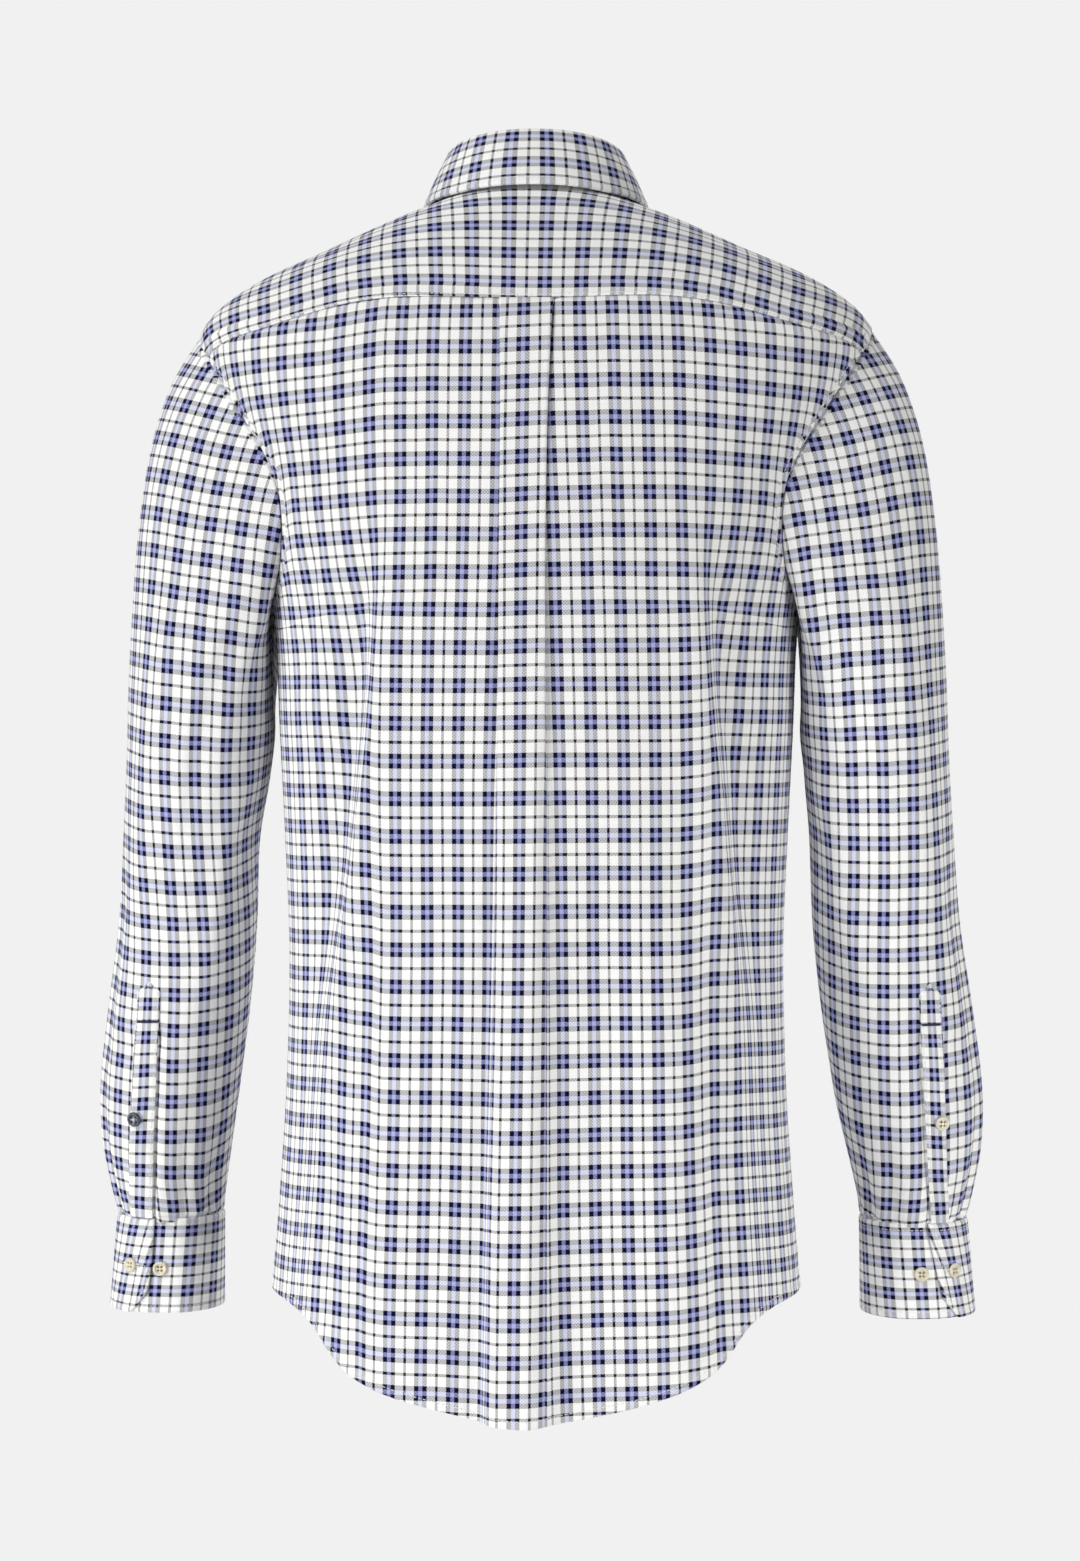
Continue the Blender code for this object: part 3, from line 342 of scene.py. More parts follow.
PLEAT = name_rows(PleatRow, (
    # z     left_x   right_x rise flanks  cloth in    grooves, in mm from the rise on
    (-0.78, 0.0240, -0.0120, 13.0, 15, 26, 20.7, 7.2, 0.0, 0.0),
    (-0.65, 0.0222, -0.0115, 11.5, 14, 24, 20.5, 9.7, 0.0, 0.0),
    (-0.52, 0.0196, -0.0112, 9.0, 12, 20, 18.4, 9.9, 0.0, 0.0),
    (-0.40, 0.0176, -0.0112, 6.0, 9, 15, 18.3, 12.6, 0.0, 0.0),
    (-0.30, 0.0166, -0.0114, 3.8, 5, 9, 21.2, 16.9, 0.2, 0.6),
    (-0.22, 0.0160, -0.0118, 2.8, 2, 3, 24.0, 20.6, 0.6, 1.6),
    (-0.14, 0.0155, -0.0131, 2.8, 1.5, 1.5, 26.4, 25.9, 0.9, 2.8),
    (-0.07, 0.0166, -0.0160, 2.8, 1.5, 1.5, 27.9, 29.7, 0.5, 4.0),
), in_mm=range(3, 10))
FOLD_UNDER = name_rows(FoldUnder, (
    (0.0, 0.0, 1.0), (0.25, 0.1, 0.86), (0.5, 0.5, 0.62), (0.9, 2.2, 0.40), (1.4, 3.3, 0.18),
    (2.0, 2.8, 0.0), (3.0, 1.8, 0.0), (4.5, 0.7, 0.0), (6.5, 0.0, 0.0)), in_mm=(0, 1))
SIDE_FOLDS = name_rows(TakenIn, (
    # z     left_x   right_x cloth, mm
    (-0.80, 0.1500, -0.1500, 19.6),
    (-0.60, 0.1370, -0.1390, 19.6),
    (-0.50, 0.1265, -0.1335, 19.4),
    (-0.42, 0.1150, -0.1265, 17.5),
    (-0.36, 0.1048, -0.1195, 15.8),
    (-0.33, 0.0995, -0.1140, 13.2),
    (-0.30, 0.0960, -0.1110, 11.5),
    (-0.268, 0.0935, -0.1092, 9.0),
    (-0.238, 0.0917, -0.1082, 4.8),
    (-0.200, 0.0900, -0.1070, 0.5),
    (-0.160, 0.0890, -0.1060, 0.0),
), in_mm=(3,))
CUFF_ENDS = {
    #                  turn  slant power  buttons
    Side.LEFT: CuffEnd(82.5, 4.5, 3.0, (58.5, 91.0)),
    Side.RIGHT: CuffEnd(79.0, 13.0, 1.2, (52.5, 88.0)),
}
STRIPS = {
    #                                down   low   high
    Side.LEFT: name_rows(StripRow, ((0.680, 62.0, 82.0), (0.75, 65.0, 84.5), (0.82, 67.0, 87.0),
                                    (0.90, 63.5, 86.5), (0.96, 56.5, 83.5), (1.00, 53.0, 81.0))),
    Side.RIGHT: name_rows(StripRow, ((0.680, 55.5, 74.0), (0.75, 61.0, 78.0), (0.82, 65.0, 81.0),
                                     (0.90, 65.0, 82.0), (0.96, 58.5, 78.5), (1.00, 54.0, 75.0))),
}
BACK_EASE_AT = (-0.129, -0.092, 0.015, 0.088, 0.125)
BACK_EASE = name_rows(BackEase, (
    # z  then mm at each place
    (-0.72, 0.0, 3.1, 5.1, 5.6, 3.6),
    (-0.60, 1.4, 4.3, 6.2, 6.7, 3.7),
    (-0.48, 0.6, 4.8, 6.1, 7.1, 1.7),
    (-0.42, -1.6, 2.9, 5.0, 5.2, -0.2),
    (-0.33, -3.8, 0.3, 3.5, 2.3, -1.0),
    (-0.27, -4.4, -2.2, 2.5, 0.0, -1.5),
    (-0.21, -5.9, -5.0, 1.7, -1.6, -1.3),
    (-0.15, -4.7, -5.1, 1.0, -1.9, 0.2),
    (-0.09, -5.6, -5.8, -0.4, -3.0, 1.0),
), in_mm=range(1, 6))
SLEEVE_EASE_AT = (55.0, 95.0, 135.0)
SLEEVE_EASE = {
    #    z    across, outer, middle, inner, in mm
    Side.LEFT: name_rows(SleeveEase, (
        (-0.629, -15.4, 7.6, 11.3, 15.4),
        (-0.586, -19.8, 7.0, 8.8, 10.7),
        (-0.544, -21.7, 4.4, 6.0, 6.9),
        (-0.487, -22.0, 1.9, 2.5, 2.4),
        (-0.431, -18.3, -0.4, 0.5, 0.9),
        (-0.374, -14.2, -1.9, -1.3, -0.8),
        (-0.317, -12.4, -2.8, -2.0, -1.3),
        (-0.260, -7.2, -3.5, -2.1, -2.6),
        (-0.204, -0.6, -3.2, -3.4, -3.8),
        (-0.160, 1.9, -5.0, -5.7, -4.4)), in_mm=range(1, 5)),
    Side.RIGHT: name_rows(SleeveEase, (
        (-0.629, -18.0, 11.3, 13.5, 15.8),
        (-0.586, -20.5, 8.4, 10.1, 11.5),
        (-0.544, -21.4, 6.3, 7.4, 7.6),
        (-0.487, -19.8, 3.5, 4.0, 3.5),
        (-0.431, -17.6, 0.6, 0.8, 0.8),
        (-0.374, -16.8, -2.5, -2.3, -2.5),
        (-0.317, -15.8, -1.9, -2.0, -2.0),
        (-0.260, -10.7, -3.2, -5.7, -6.9),
        (-0.204, -5.0, -4.4, -4.2, -3.8),
        (-0.160, -1.9, -5.0, -5.0, -5.0)), in_mm=range(1, 5)),
}
# The cove from its middle out and up, as the distance out and the height over the floor.
COVE = ((0.0, 0.0), (2.4, 0.0), (3.0, 0.06), (3.5, 0.24), (3.9, 0.62), (4.12, 1.1),
        (4.2, 1.8), (4.2, 3.0), (3.9, 4.3), (3.1, 5.4), (1.8, 6.1), (0.0, 6.3))
SOFTBOXES = name_rows(Softbox, (
    ("key", (2.2, 2.5, 2.3), 2.0, 96.0),
    ("fill", (-2.6, 2.4, -0.4), 1.8, 7.5),
    ("low_left", (0.95, 0.70, -1.0), 0.5, 7.0),
    ("low_right", (-0.95, 0.70, -1.0), 0.5, 6.2),
    ("front", (-1.4, -3.6, 1.0), 2.4, 105.0),
))
BACK_CREASES = name_rows(Crease, (
    # Along is Z and across is X. First the two long drags from under the arms to the waist.
    (-0.205, 0.0965, -0.360, 0.1110, -0.540, 0.1370, -6.0, 0.0105, 0.45),
    (-0.205, -0.1125, -0.360, -0.1255, -0.540, -0.1420, -5.6, 0.0105, -0.45),
    (-0.190, 0.0820, -0.360, 0.0950, -0.530, 0.1190, 5.0, 0.0120, -0.35),
    (-0.190, -0.0980, -0.360, -0.1100, -0.530, -0.1260, 4.6, 0.0120, 0.35),
    (-0.420, 0.0860, -0.600, 0.0900, -0.790, 0.0900, 3.0, 0.0180),
    (-0.420, -0.0830, -0.600, -0.0880, -0.790, -0.0950, 3.0, 0.0180),
    (-0.200, 0.1300, -0.250, 0.1345, -0.330, 0.1400, -2.0, 0.0050, 0.3),
    (-0.190, -0.1290, -0.240, -0.1340, -0.310, -0.1400, -1.8, 0.0050, -0.3),
    (-0.300, 0.0450, -0.470, 0.0520, -0.720, 0.0560, -1.8, 0.0120, 0.2),
    (-0.340, -0.0420, -0.520, -0.0500, -0.740, -0.0560, -1.8, 0.0130, -0.2),
    (-0.560, 0.1250, -0.650, 0.1230, -0.760, 0.1180, -2.2, 0.0120, 0.2),
    (-0.540, -0.1220, -0.640, -0.1240, -0.760, -0.1260, -2.0, 0.0120, -0.2),
), in_mm=(6,))
FRONT_CREASES = name_rows(Crease, (
    (-0.240, 0.1080, -0.400, 0.1050, -0.570, 0.1200, -3.4, 0.0110, 0.3),
    (-0.240, -0.1060, -0.400, -0.1080, -0.570, -0.1210, -3.4, 0.0110, -0.3),
    (-0.380, 0.0640, -0.560, 0.0700, -0.740, 0.0760, 2.8, 0.0150, 0.2),
    (-0.380, -0.0680, -0.560, -0.0660, -0.740, -0.0720, 2.8, 0.0150, -0.2),
    (-0.200, 0.0850, -0.310, 0.0760, -0.450, 0.0700, -2.4, 0.0100, -0.3),
    (-0.200, -0.0900, -0.320, -0.0810, -0.430, -0.0740, -2.2, 0.0100, 0.3),
    (-0.500, 0.0420, -0.610, 0.0440, -0.740, 0.0480, -1.8, 0.0090, 0.2),
    (-0.460, -0.0380, -0.600, -0.0430, -0.740, -0.0460, -1.8, 0.0090, -0.2),
    (-0.180, 0.1250, -0.240, 0.1180, -0.330, 0.1180, 2.2, 0.0080, 0.3),
    (-0.180, -0.1260, -0.240, -0.1200, -0.320, -0.1200, 2.2, 0.0080, -0.3),
), in_mm=(6,))
SLEEVE_CREASES = name_rows(Crease, (
    # Along is the way down, 0 to 1, and across is the turn in degrees.
    (0.10, 118, 0.34, 105, 0.62, 96, -3.6, 12, 0.3),
    (0.14, 70, 0.40, 62, 0.72, 52, 2.6, 13, -0.3),
    (0.38, 150, 0.56, 128, 0.76, 112, 3.4, 12, 0.3),
    (0.48, 30, 0.66, 22, 0.88, 30, -2.6, 11, 0.2),
    (0.10, -112, 0.34, -100, 0.62, -92, -3.2, 12, -0.3),
    (0.40, -140, 0.58, -124, 0.80, -110, 3.2, 12, -0.2),
    (0.28, -55, 0.52, -48, 0.82, -42, 2.2, 13, 0.2),
    (0.78, 24, 0.94, 27, 1.12, 28, -3.0, 7, 0.2),
    (0.05, 150, 0.20, 138, 0.40, 140, -2.4, 9, 0.3),
    (0.04, -150, 0.18, -140, 0.38, -136, -2.4, 9, -0.3),
    (0.62, 96, 0.78, 84, 0.96, 96, -1.8, 9, 0.2),
    (0.80, 112, 0.92, 116, 1.12, 118, -1.8, 8, -0.2),
    (0.84, 150, 0.94, 148, 1.12, 146, -2.0, 8, 0.2),
    (0.82, -150, 0.93, -148, 1.12, -146, 1.8, 9, 0.2),
    (0.84, -110, 0.94, -112, 1.12, -112, -1.8, 8, 0.2),
    (0.86, -60, 0.95, -58, 1.12, -56, -1.6, 8, 0.2),
), in_mm=(6,))


# ---------------------------------------------------------------- numbers
def smooth_read(table: tuple, at: Array | float) -> Array:
    """Reads a table of named rows along a smooth line through its rows.

    Args:
        table: the rows, ordered by their first column.
        at: the values of that column to read at.

    Returns:
        The other columns at each value, along a last axis.
    """
    rows = np.array(table, float)
    x, values = rows[:, 0], rows[:, 1:]
    slopes = np.empty_like(values)
    slopes[1:-1] = (values[2:] - values[:-2]) / (x[2:] - x[:-2])[:, None]
    slopes[0] = (values[1] - values[0]) / (x[1] - x[0])
    slopes[-1] = (values[-1] - values[-2]) / (x[-1] - x[-2])
    at = np.asarray(at, float)
    low = np.clip(np.searchsorted(x, at, side="right") - 1, 0, len(x) - 2)
    span = (x[low + 1] - x[low])[..., None]
    t = np.clip((at - x[low])[..., None] / span, 0.0, 1.0)
    return ((1 + 2 * t) * (1 - t) ** 2 * values[low] + t * (1 - t) ** 2 * span * slopes[low]
            + t * t * (3 - 2 * t) * values[low + 1] + t * t * (t - 1) * span * slopes[low + 1])


def spread(rows: Array, places: tuple[float, ...], at: Array) -> Array:
    """Reads values that stand at places across, between them.

    Args:
        rows: the values, along a last axis as long as places.
        places: where they stand.
        at: where each point lies.

    Returns:
        The value at each point.
    """
    knots = np.array(places)
    low = np.clip(np.searchsorted(knots, at) - 1, 0, len(knots) - 2)
    t = np.clip((at - knots[low]) / (knots[low + 1] - knots[low]), 0.0, 1.0)
    left = np.take_along_axis(rows, low[..., None], -1)[..., 0]
    right = np.take_along_axis(rows, low[..., None] + 1, -1)[..., 0]
    return left * (1 - t) + right * t


def smooth_step(x: Array | float, low: float | Array, high: float | Array) -> Array:
    """0 below low, 1 above high and a soft rise between; low may be the larger."""
    t = np.clip((np.asarray(x, float) - low) / (high - low), 0.0, 1.0)
    return t * t * (3 - 2 * t)


def signed_power(x: Array, power: float) -> Array:
    """The values to a power, with their sign kept."""
    return np.sign(x) * np.abs(x) ** power


def unit(vectors: Array) -> Array:
    """Each vector at length 1."""
    return vectors / np.maximum(np.linalg.norm(vectors, axis=-1, keepdims=True), 1e-12)


def arc_lengths(line: Array) -> Array:
    """How far along a line of points each one lies."""
    return np.concatenate([[0.0], np.cumsum(np.linalg.norm(np.diff(line, axis=0), axis=-1))])


def spaced(length: float, step: float, fine_start: int = 0, fine_end: int = 0,
           fine: float = 1.0 * MM) -> Array:
    """Places along a length, in fine steps at its ends and coarser ones between.

    Args:
        length: the whole length.
        step: about how far apart the places between lie.
        fine_start: how many fine steps the start has.
        fine_end: how many fine steps the end has.
        fine: a fine step.

    Returns:
        The places as shares of the length, 0 to 1.
    """
    start, end = fine_start * fine, length - fine_end * fine
    between = np.linspace(start, end, max(2, int(round((end - start) / step)) + 1))
    first = np.arange(fine_start) * fine
    last = length - np.arange(fine_end)[::-1] * fine
    return np.concatenate([first, between, last]) / length


def crease_height(creases: tuple[Crease, ...], across: Array, along: Array) -> Array:
    """How far a set of creases lifts the cloth.

    Args:
        creases: the creases.
        across: each point's place across them.
        along: each point's place along them.

    Returns:
        The height at each point.
    """
    total = np.zeros(np.broadcast(across, along).shape)
    for crease in creases:
        way = np.array(crease[:6]).reshape(3, 2)
        line = np.polyval(np.polyfit(way[:, 0], way[:, 1], 2), along)
        share = np.clip((along - crease.top) / (crease.bottom - crease.top), 0.0, 1.0)
        fade = smooth_step(share, 0.0, CREASE_FADE) * smooth_step(share, 1.0, 1 - CREASE_FADE)
        beyond = (across - line) / crease.half_width
        width = 1 + crease.lean * np.tanh(beyond)
        total = total + crease.rise * fade * np.exp(-(beyond / width) ** 2)
    return total


def pucker_wave(run: Array) -> Array:
    """The uneven little waves that stitching draws up along a seam, -1 to 1."""
    return (0.6 * np.sin(run / (1.5 * MM) + 1.4 * np.sin(run / (6.1 * MM)))
            + 0.4 * np.sin(run / (0.93 * MM) + 2.0 * np.sin(run / (8.7 * MM))))


# ---------------------------------------------------------------- cloth
@dataclass
class ClothGrid:
    """A piece of cloth: a grid of points, the way out of it, and each point's place when flat."""
    points: Array
    normals: Array
    flat: Array

    def raise_by(self, height: Array) -> None:
        """Moves the cloth out along its normals."""
        self.points = self.points + self.normals * height[..., None]

    def sew(self, work: EdgeWork, *edges: Edge) -> None:
        """Shapes the cloth beside its edges as their sewing leaves it.

        Args:
            work: how they are sewn.
            edges: the edges, in turn.
        """
        for edge in edges:
            away, run = edge.distance(self.points), edge.along(self.points)
            band = work.lift * (1 - smooth_step(away, work.band + 0.2 * MM, work.band + 2.0 * MM))
            rolled = work.roll * (1 - smooth_step(away, 0.0, 1.3 * MM))
            ditch = work.ditch * np.exp(-((away - work.band) / (1.0 * MM)) ** 2)
            near = np.exp(-((away - work.band) / (7.0 * MM)) ** 2)
            self.raise_by(band - rolled - ditch + work.pucker * pucker_wave(run) * near)

    def lap_under(self, edge: Edge, reach: float = 3.0 * MM) -> None:
        """Runs the cloth on past a tucked edge, under its neighbour.

        Args:
            edge: the edge.
            reach: how far it runs on.
        """
        axis, end = edge.value
        last, inner = edge.line(self.points), np.take(self.points, -2 if end else 1, axis)
        normals, flat = edge.line(self.normals), edge.line(self.flat)
        flat_inner = np.take(self.flat, -2 if end else 1, axis)
        step = np.linalg.norm(last - inner, axis=-1, keepdims=True)
        beyond = last + unit(last - inner) * reach - normals * LAP_SINK
        flat_beyond = flat + (flat - flat_inner) / np.maximum(step, 1e-6) * reach

        def joined(values: Array, line: Array) -> Array:
            """The grid with one more line at this edge."""
            line = np.expand_dims(line, axis)
            return np.concatenate([values, line] if end else [line, values], axis)

        self.points = joined(self.points, beyond)
        self.normals = joined(self.normals, normals)
        self.flat = joined(self.flat, flat_beyond)

    def at_distance(self, edge: Edge, distance: float) -> tuple[Array, Array]:
        """The line on the cloth that runs this far from an edge.

        Args:
            edge: the edge.
            distance: how far in it runs.

        Returns:
            Its points and its normals.
        """
        axis, _ = edge.value
        away = edge.distance(self.points)
        order = np.argsort(away, axis)
        away = np.moveaxis(np.take_along_axis(away, order, axis), axis, -1)
        lines = []
        for values in (self.points, self.normals):
            values = np.moveaxis(np.take_along_axis(values, order[..., None], axis), axis, 1)
            lines.append(np.array([[np.interp(distance, run, lane[:, k]) for k in range(3)]
                                   for run, lane in zip(away, values)]))
        return lines[0], unit(lines[1])

    def flat_at(self, target: tuple[float, float, float]) -> Array:
        """The place on the flat cloth of a target point near the grid.

        Args:
            target: the point in space.

        Returns:
            Its two flat coordinates.
        """
        away = np.linalg.norm(self.points[1:-1, 1:-1] - np.array(target), axis=-1)
        r, c = (int(i) + 1 for i in np.unravel_index(np.argmin(away), away.shape))
        steps = np.stack([self.points[r, c + 1] - self.points[r, c - 1],
                          self.points[r + 1, c] - self.points[r - 1, c]], axis=1)
        flats = np.stack([self.flat[r, c + 1] - self.flat[r, c - 1],
                          self.flat[r + 1, c] - self.flat[r - 1, c]], axis=1)
        shares = np.linalg.lstsq(steps, np.array(target) - self.points[r, c], rcond=None)[0]
        return self.flat[r, c] + flats @ shares

    def anchor(self, target: tuple[float, float, float]) -> None:
        """Shifts the flat cloth so that a blue block's centre falls on the target."""
        self.flat = self.flat - self.flat_at(target)

    def square_up(self, low: tuple[float, float, float], high: tuple[float, float, float]) -> None:
        """Turns the flat cloth so that its grain runs from one point up to another.

        Args:
            low: a point near the cloth.
            high: a point above it.
        """
        run = self.flat_at(high) - self.flat_at(low)
        turn = math.atan2(run[0], run[1])
        c, s = math.cos(turn), math.sin(turn)
        self.flat = self.flat @ np.array([[c, -s], [s, c]]).T


def arc_guess(points: Array, middle: int, up: float) -> Array:
    """A first guess at the flat cloth: arcs along the rows and the columns.

    Args:
        points: the grid.
        middle: the column that runs straight up the flat cloth.
        up: 1 where the rows climb, -1 where they go down.

    Returns:
        The flat coordinates.
    """
    across = np.cumsum(np.linalg.norm(np.diff(points, axis=1, prepend=points[:, :1]), axis=-1), 1)
    climb = np.cumsum(np.linalg.norm(np.diff(points, axis=0, prepend=points[:1]), axis=-1), 0)
    return np.stack([across - across[:, middle:middle + 1], points[:1, :, 2] + up * climb], axis=-1)


def relax_flat(points: Array, guess: Array, rounds: int = 600) -> Array:
    """Lays a grid of points out flat with the least stretch, as cloth lies before it is sewn.

    Args:
        points: the grid in space.
        guess: a first guess at the flat coordinates.
        rounds: how many times the cloth is let settle.

    Returns:
        The flat coordinates of the whole grid.
    """
    rows, columns = (np.unique(np.linspace(0, size - 1, SETTLE_LINES).astype(int))
                     for size in points.shape[:2])
    coarse = points[np.ix_(rows, columns)]
    flat = guess[np.ix_(rows, columns)].copy()
    links = ((np.s_[:, :-1], np.s_[:, 1:], 1.0), (np.s_[:-1, :], np.s_[1:, :], 1.0),
             (np.s_[:-1, :-1], np.s_[1:, 1:], 0.5), (np.s_[:-1, 1:], np.s_[1:, :-1], 0.5))
    lengths = [np.linalg.norm(coarse[b] - coarse[a], axis=-1) for a, b, _ in links]
    weight = np.zeros(flat.shape[:2])
    for a, b, stiff in links:
        weight[a] += stiff
        weight[b] += stiff
    speed = np.zeros_like(flat)
    for _ in range(rounds):
        move = np.zeros_like(flat)
        for (a, b, stiff), length in zip(links, lengths):
            gap = flat[b] - flat[a]
            now = np.maximum(np.linalg.norm(gap, axis=-1), 1e-9)
            pull = (stiff * 0.5 * (now - length) / now)[..., None] * gap
            move[a] += pull
            move[b] -= pull
        speed = SETTLE_DRAG * speed + move / weight[..., None]
        flat = flat + speed
    flat = flat - guess[np.ix_(rows, columns)]
    wide = np.stack([[np.interp(np.arange(points.shape[1]), columns, flat[r, :, k])
                      for r in range(len(rows))] for k in range(2)], axis=-1)
    full = np.stack([[np.interp(np.arange(points.shape[0]), rows, wide[:, c, k])
                      for c in range(points.shape[1])] for k in range(2)], axis=-1)
    return guess + full.swapaxes(0, 1)


def add_extra_cloth(flat: Array, plain: Array, shaped: Array,
                    row: int, column: int) -> Array:
    """Adds to the flat cloth the length that creases take up.

    Args:
        flat: the flat coordinates of the plain form.
        plain: the grid without creases.
        shaped: the grid with them.
        row: the row that stays where it is.
        column: the column that stays where it is.

    Returns:
        The flat coordinates of the creased cloth.
    """
    flat = flat.copy()
    for axis, kept, part in ((1, column, 0), (0, row, 1)):
        extra = (np.linalg.norm(np.diff(shaped, axis=axis), axis=-1)
                 - np.linalg.norm(np.diff(plain, axis=axis), axis=-1))
        start = np.zeros_like(np.take(extra, [0], axis))
        along = np.cumsum(np.concatenate([start, extra], axis), axis)
        along = along - np.take(along, [kept], axis)
        way = np.sign(np.diff(flat[..., part], axis=axis).mean())
        flat[..., part] += way * along
    return flat


# ---------------------------------------------------------------- forms
def taken_in(folds: tuple[TakenIn, ...], x: Array, z: Array, half: float) -> Array:
    """How much cloth the two side folds take up between the middle of the back and each point.

    Args:
        folds: the folds' rows.
        x: each point's X.
        z: each point's Z.
        half: half of a fold's width.

    Returns:
        The length of cloth, signed towards the wearer's right.
    """
    left, right, cloth = np.moveaxis(smooth_read(folds, z), -1, 0)
    return cloth * (smooth_step(right - x, -half, half) - smooth_step(x - left, -half, half))


@dataclass
class BodyForm:
    """The shirt's body as one form: a stack of girths, with its pleat and its creases."""
    squareness: float = 2.25
    pleat_sink: float = 0.35
    sink_width: float = 0.045
    pressed_above: tuple[float, float] = (-0.40, -0.27)
    groove_at: float = 1.6 * MM
    groove_half: float = 1.3 * MM
    yoke_clear: tuple[float, float] = (1.0 * MM, 15.0 * MM)
    pleat_at_yoke: float = 0.3
    dip: float = 0.014
    dip_reach: float = 0.09
    dip_spread: float = 0.030
    hem_reach: float = 0.35
    top_reach: float = 0.11

    def plain(self, theta: Array, level: Array) -> Array:
        """The form without pleat or creases.

        Args:
            theta: degrees round from the centre back.
            level: the height at the centre back of the girth.

        Returns:
            The points.
        """
        half, side_z, back, front, front_z = np.moveaxis(smooth_read(GIRTHS, level), -1, 0)
        s, c = np.sin(np.radians(theta)), np.cos(np.radians(theta))
        power = 2.0 / self.squareness
        end_z = np.where(c > 0, level, front_z)
        return np.stack([half * signed_power(s, power),
                         np.where(c > 0, back, front) * signed_power(c, power),
                         side_z + (end_z - side_z) * c * c], axis=-1)

    def normal(self, theta: Array, level: Array) -> Array:
        """The way out of the form, for the same places as plain takes."""
        turn, rise = 1.0, 0.004
        across = self.plain(theta + turn, level) - self.plain(theta - turn, level)
        up = self.plain(theta, np.minimum(level + rise, 0.0)) - self.plain(theta, level - rise)
        return -unit(np.cross(across, up))

    def pleat_height(self, x: Array, z: Array) -> Array:
        """How far the pleat, and the ridge that it opens into, stands out.

        Args:
            x: each point's X.
            z: each point's Z.

        Returns:
            The height at each point.
        """
        rows = np.moveaxis(smooth_read(PLEAT, z), -1, 0)
        left, right, rise, left_flank, right_flank, _, _, left_groove, right_groove = rows
        beyond_left, beyond_right = x - left, right - x
        outside = np.maximum(beyond_left, beyond_right)
        soft = (smooth_step(beyond_left, left_flank / 2, -left_flank / 2)
                * smooth_step(beyond_right, right_flank / 2, -right_flank / 2))
        folds = np.array(FOLD_UNDER)
        pressed = np.interp(outside, folds[:, 0], folds[:, 2])
        press = smooth_step(z, *self.pressed_above)
        top = soft + (pressed - soft) * press
        low = 1 - smooth_step(np.abs(outside - self.sink_width / 2), 0.0, self.sink_width)
        sunk = self.pleat_sink * np.maximum(rise - PLEAT[-1].rise, 0.0) * low * (outside > 0)
        height = rise * top - sunk * (1 - top)
        for deep, beyond in ((left_groove, beyond_left), (right_groove, beyond_right)):
            height = height - deep * np.exp(-((beyond - self.groove_at) / self.groove_half) ** 2)
        return height

    def slip_under(self, points: Array) -> Array:
        """How far in X each point slips under the pressed pleat's edge.

        Args:
            points: points on the back.

        Returns:
            The shifts in X.
        """
        x, z = points[..., 0], points[..., 2]
        rows = smooth_read(PLEAT, z)
        folds = np.array(FOLD_UNDER)
        past_left, past_right = x - rows[..., 0], rows[..., 1] - x
        slip = (np.interp(past_right, folds[:, 0], folds[:, 1])
                - np.interp(past_left, folds[:, 0], folds[:, 1]))
        return slip * smooth_step(z, *self.pressed_above)

    def shaped(self, theta: Array, level: Array) -> tuple[Array, Array]:
        """The form with its pleat and creases, and the way out of it.

        Args:
            theta: degrees round from the centre back.
            level: the height at the centre back of the girth.

        Returns:
            The points and the normals.
        """
        points, normals = self.plain(theta, level), self.normal(theta, level)
        x, y, z = np.moveaxis(points, -1, 0)
        behind, before = smooth_step(y, 0.0, 0.02), smooth_step(y, 0.0, -0.02)
        below = self.yoke_level(theta) - level
        clear = self.pleat_at_yoke + (1 - self.pleat_at_yoke) * smooth_step(below, *self.yoke_clear)
        pleat = np.where(below > 0, clear * self.pleat_height(x, z), 0.0)
        rise = (behind * (crease_height(BACK_CREASES, x, z) + pleat)
                + before * crease_height(FRONT_CREASES, x, z))
        points = points + normals * rise[..., None]
        points[..., 0] += behind * np.where(below > 0, clear * self.slip_under(points), 0.0)
        return points, normals

    def theta_of(self, x: Array, level: Array) -> Array:
        """Theta of the places on the back that have this X."""
        half = smooth_read(GIRTHS, level)[..., 0]
        return np.degrees(np.arcsin(np.clip(signed_power(x / half, self.squareness / 2), -1, 1)))

    def armhole(self, turn: Array) -> Array:
        """Theta and level of the armhole seam, on the wearer's left."""
        return smooth_read(ARMHOLE, turn)

    def hem_level(self, theta: Array) -> Array:
        """The level of the hem."""
        return smooth_read(HEM, np.abs(theta))[..., 0]

    def yoke_level(self, theta: Array) -> Array:
        """The level of the yoke's back seam."""
        return smooth_read(YOKE_BACK_SEAM, np.abs(theta))[..., 0]

    def side_line(self, turns: Array, coarse: float = 5.0 * MM) -> Array:
        """A panel's edge up the side seam from the hem, and on round the armhole.

        Args:
            turns: the armhole's turns, from the underarm on.
            coarse: how far apart the rows lie.

        Returns:
            Theta and level along the edge.
        """
        low, high = float(self.hem_level(np.array(90.0))), ARMHOLE[0].level
        shares = spaced(high - low, coarse, fine_start=9)[:-1]
        levels = low + (high - low) * shares
        side = np.stack([np.full(len(levels), 90.0), levels], axis=-1)
        return np.concatenate([side, self.armhole(turns)])

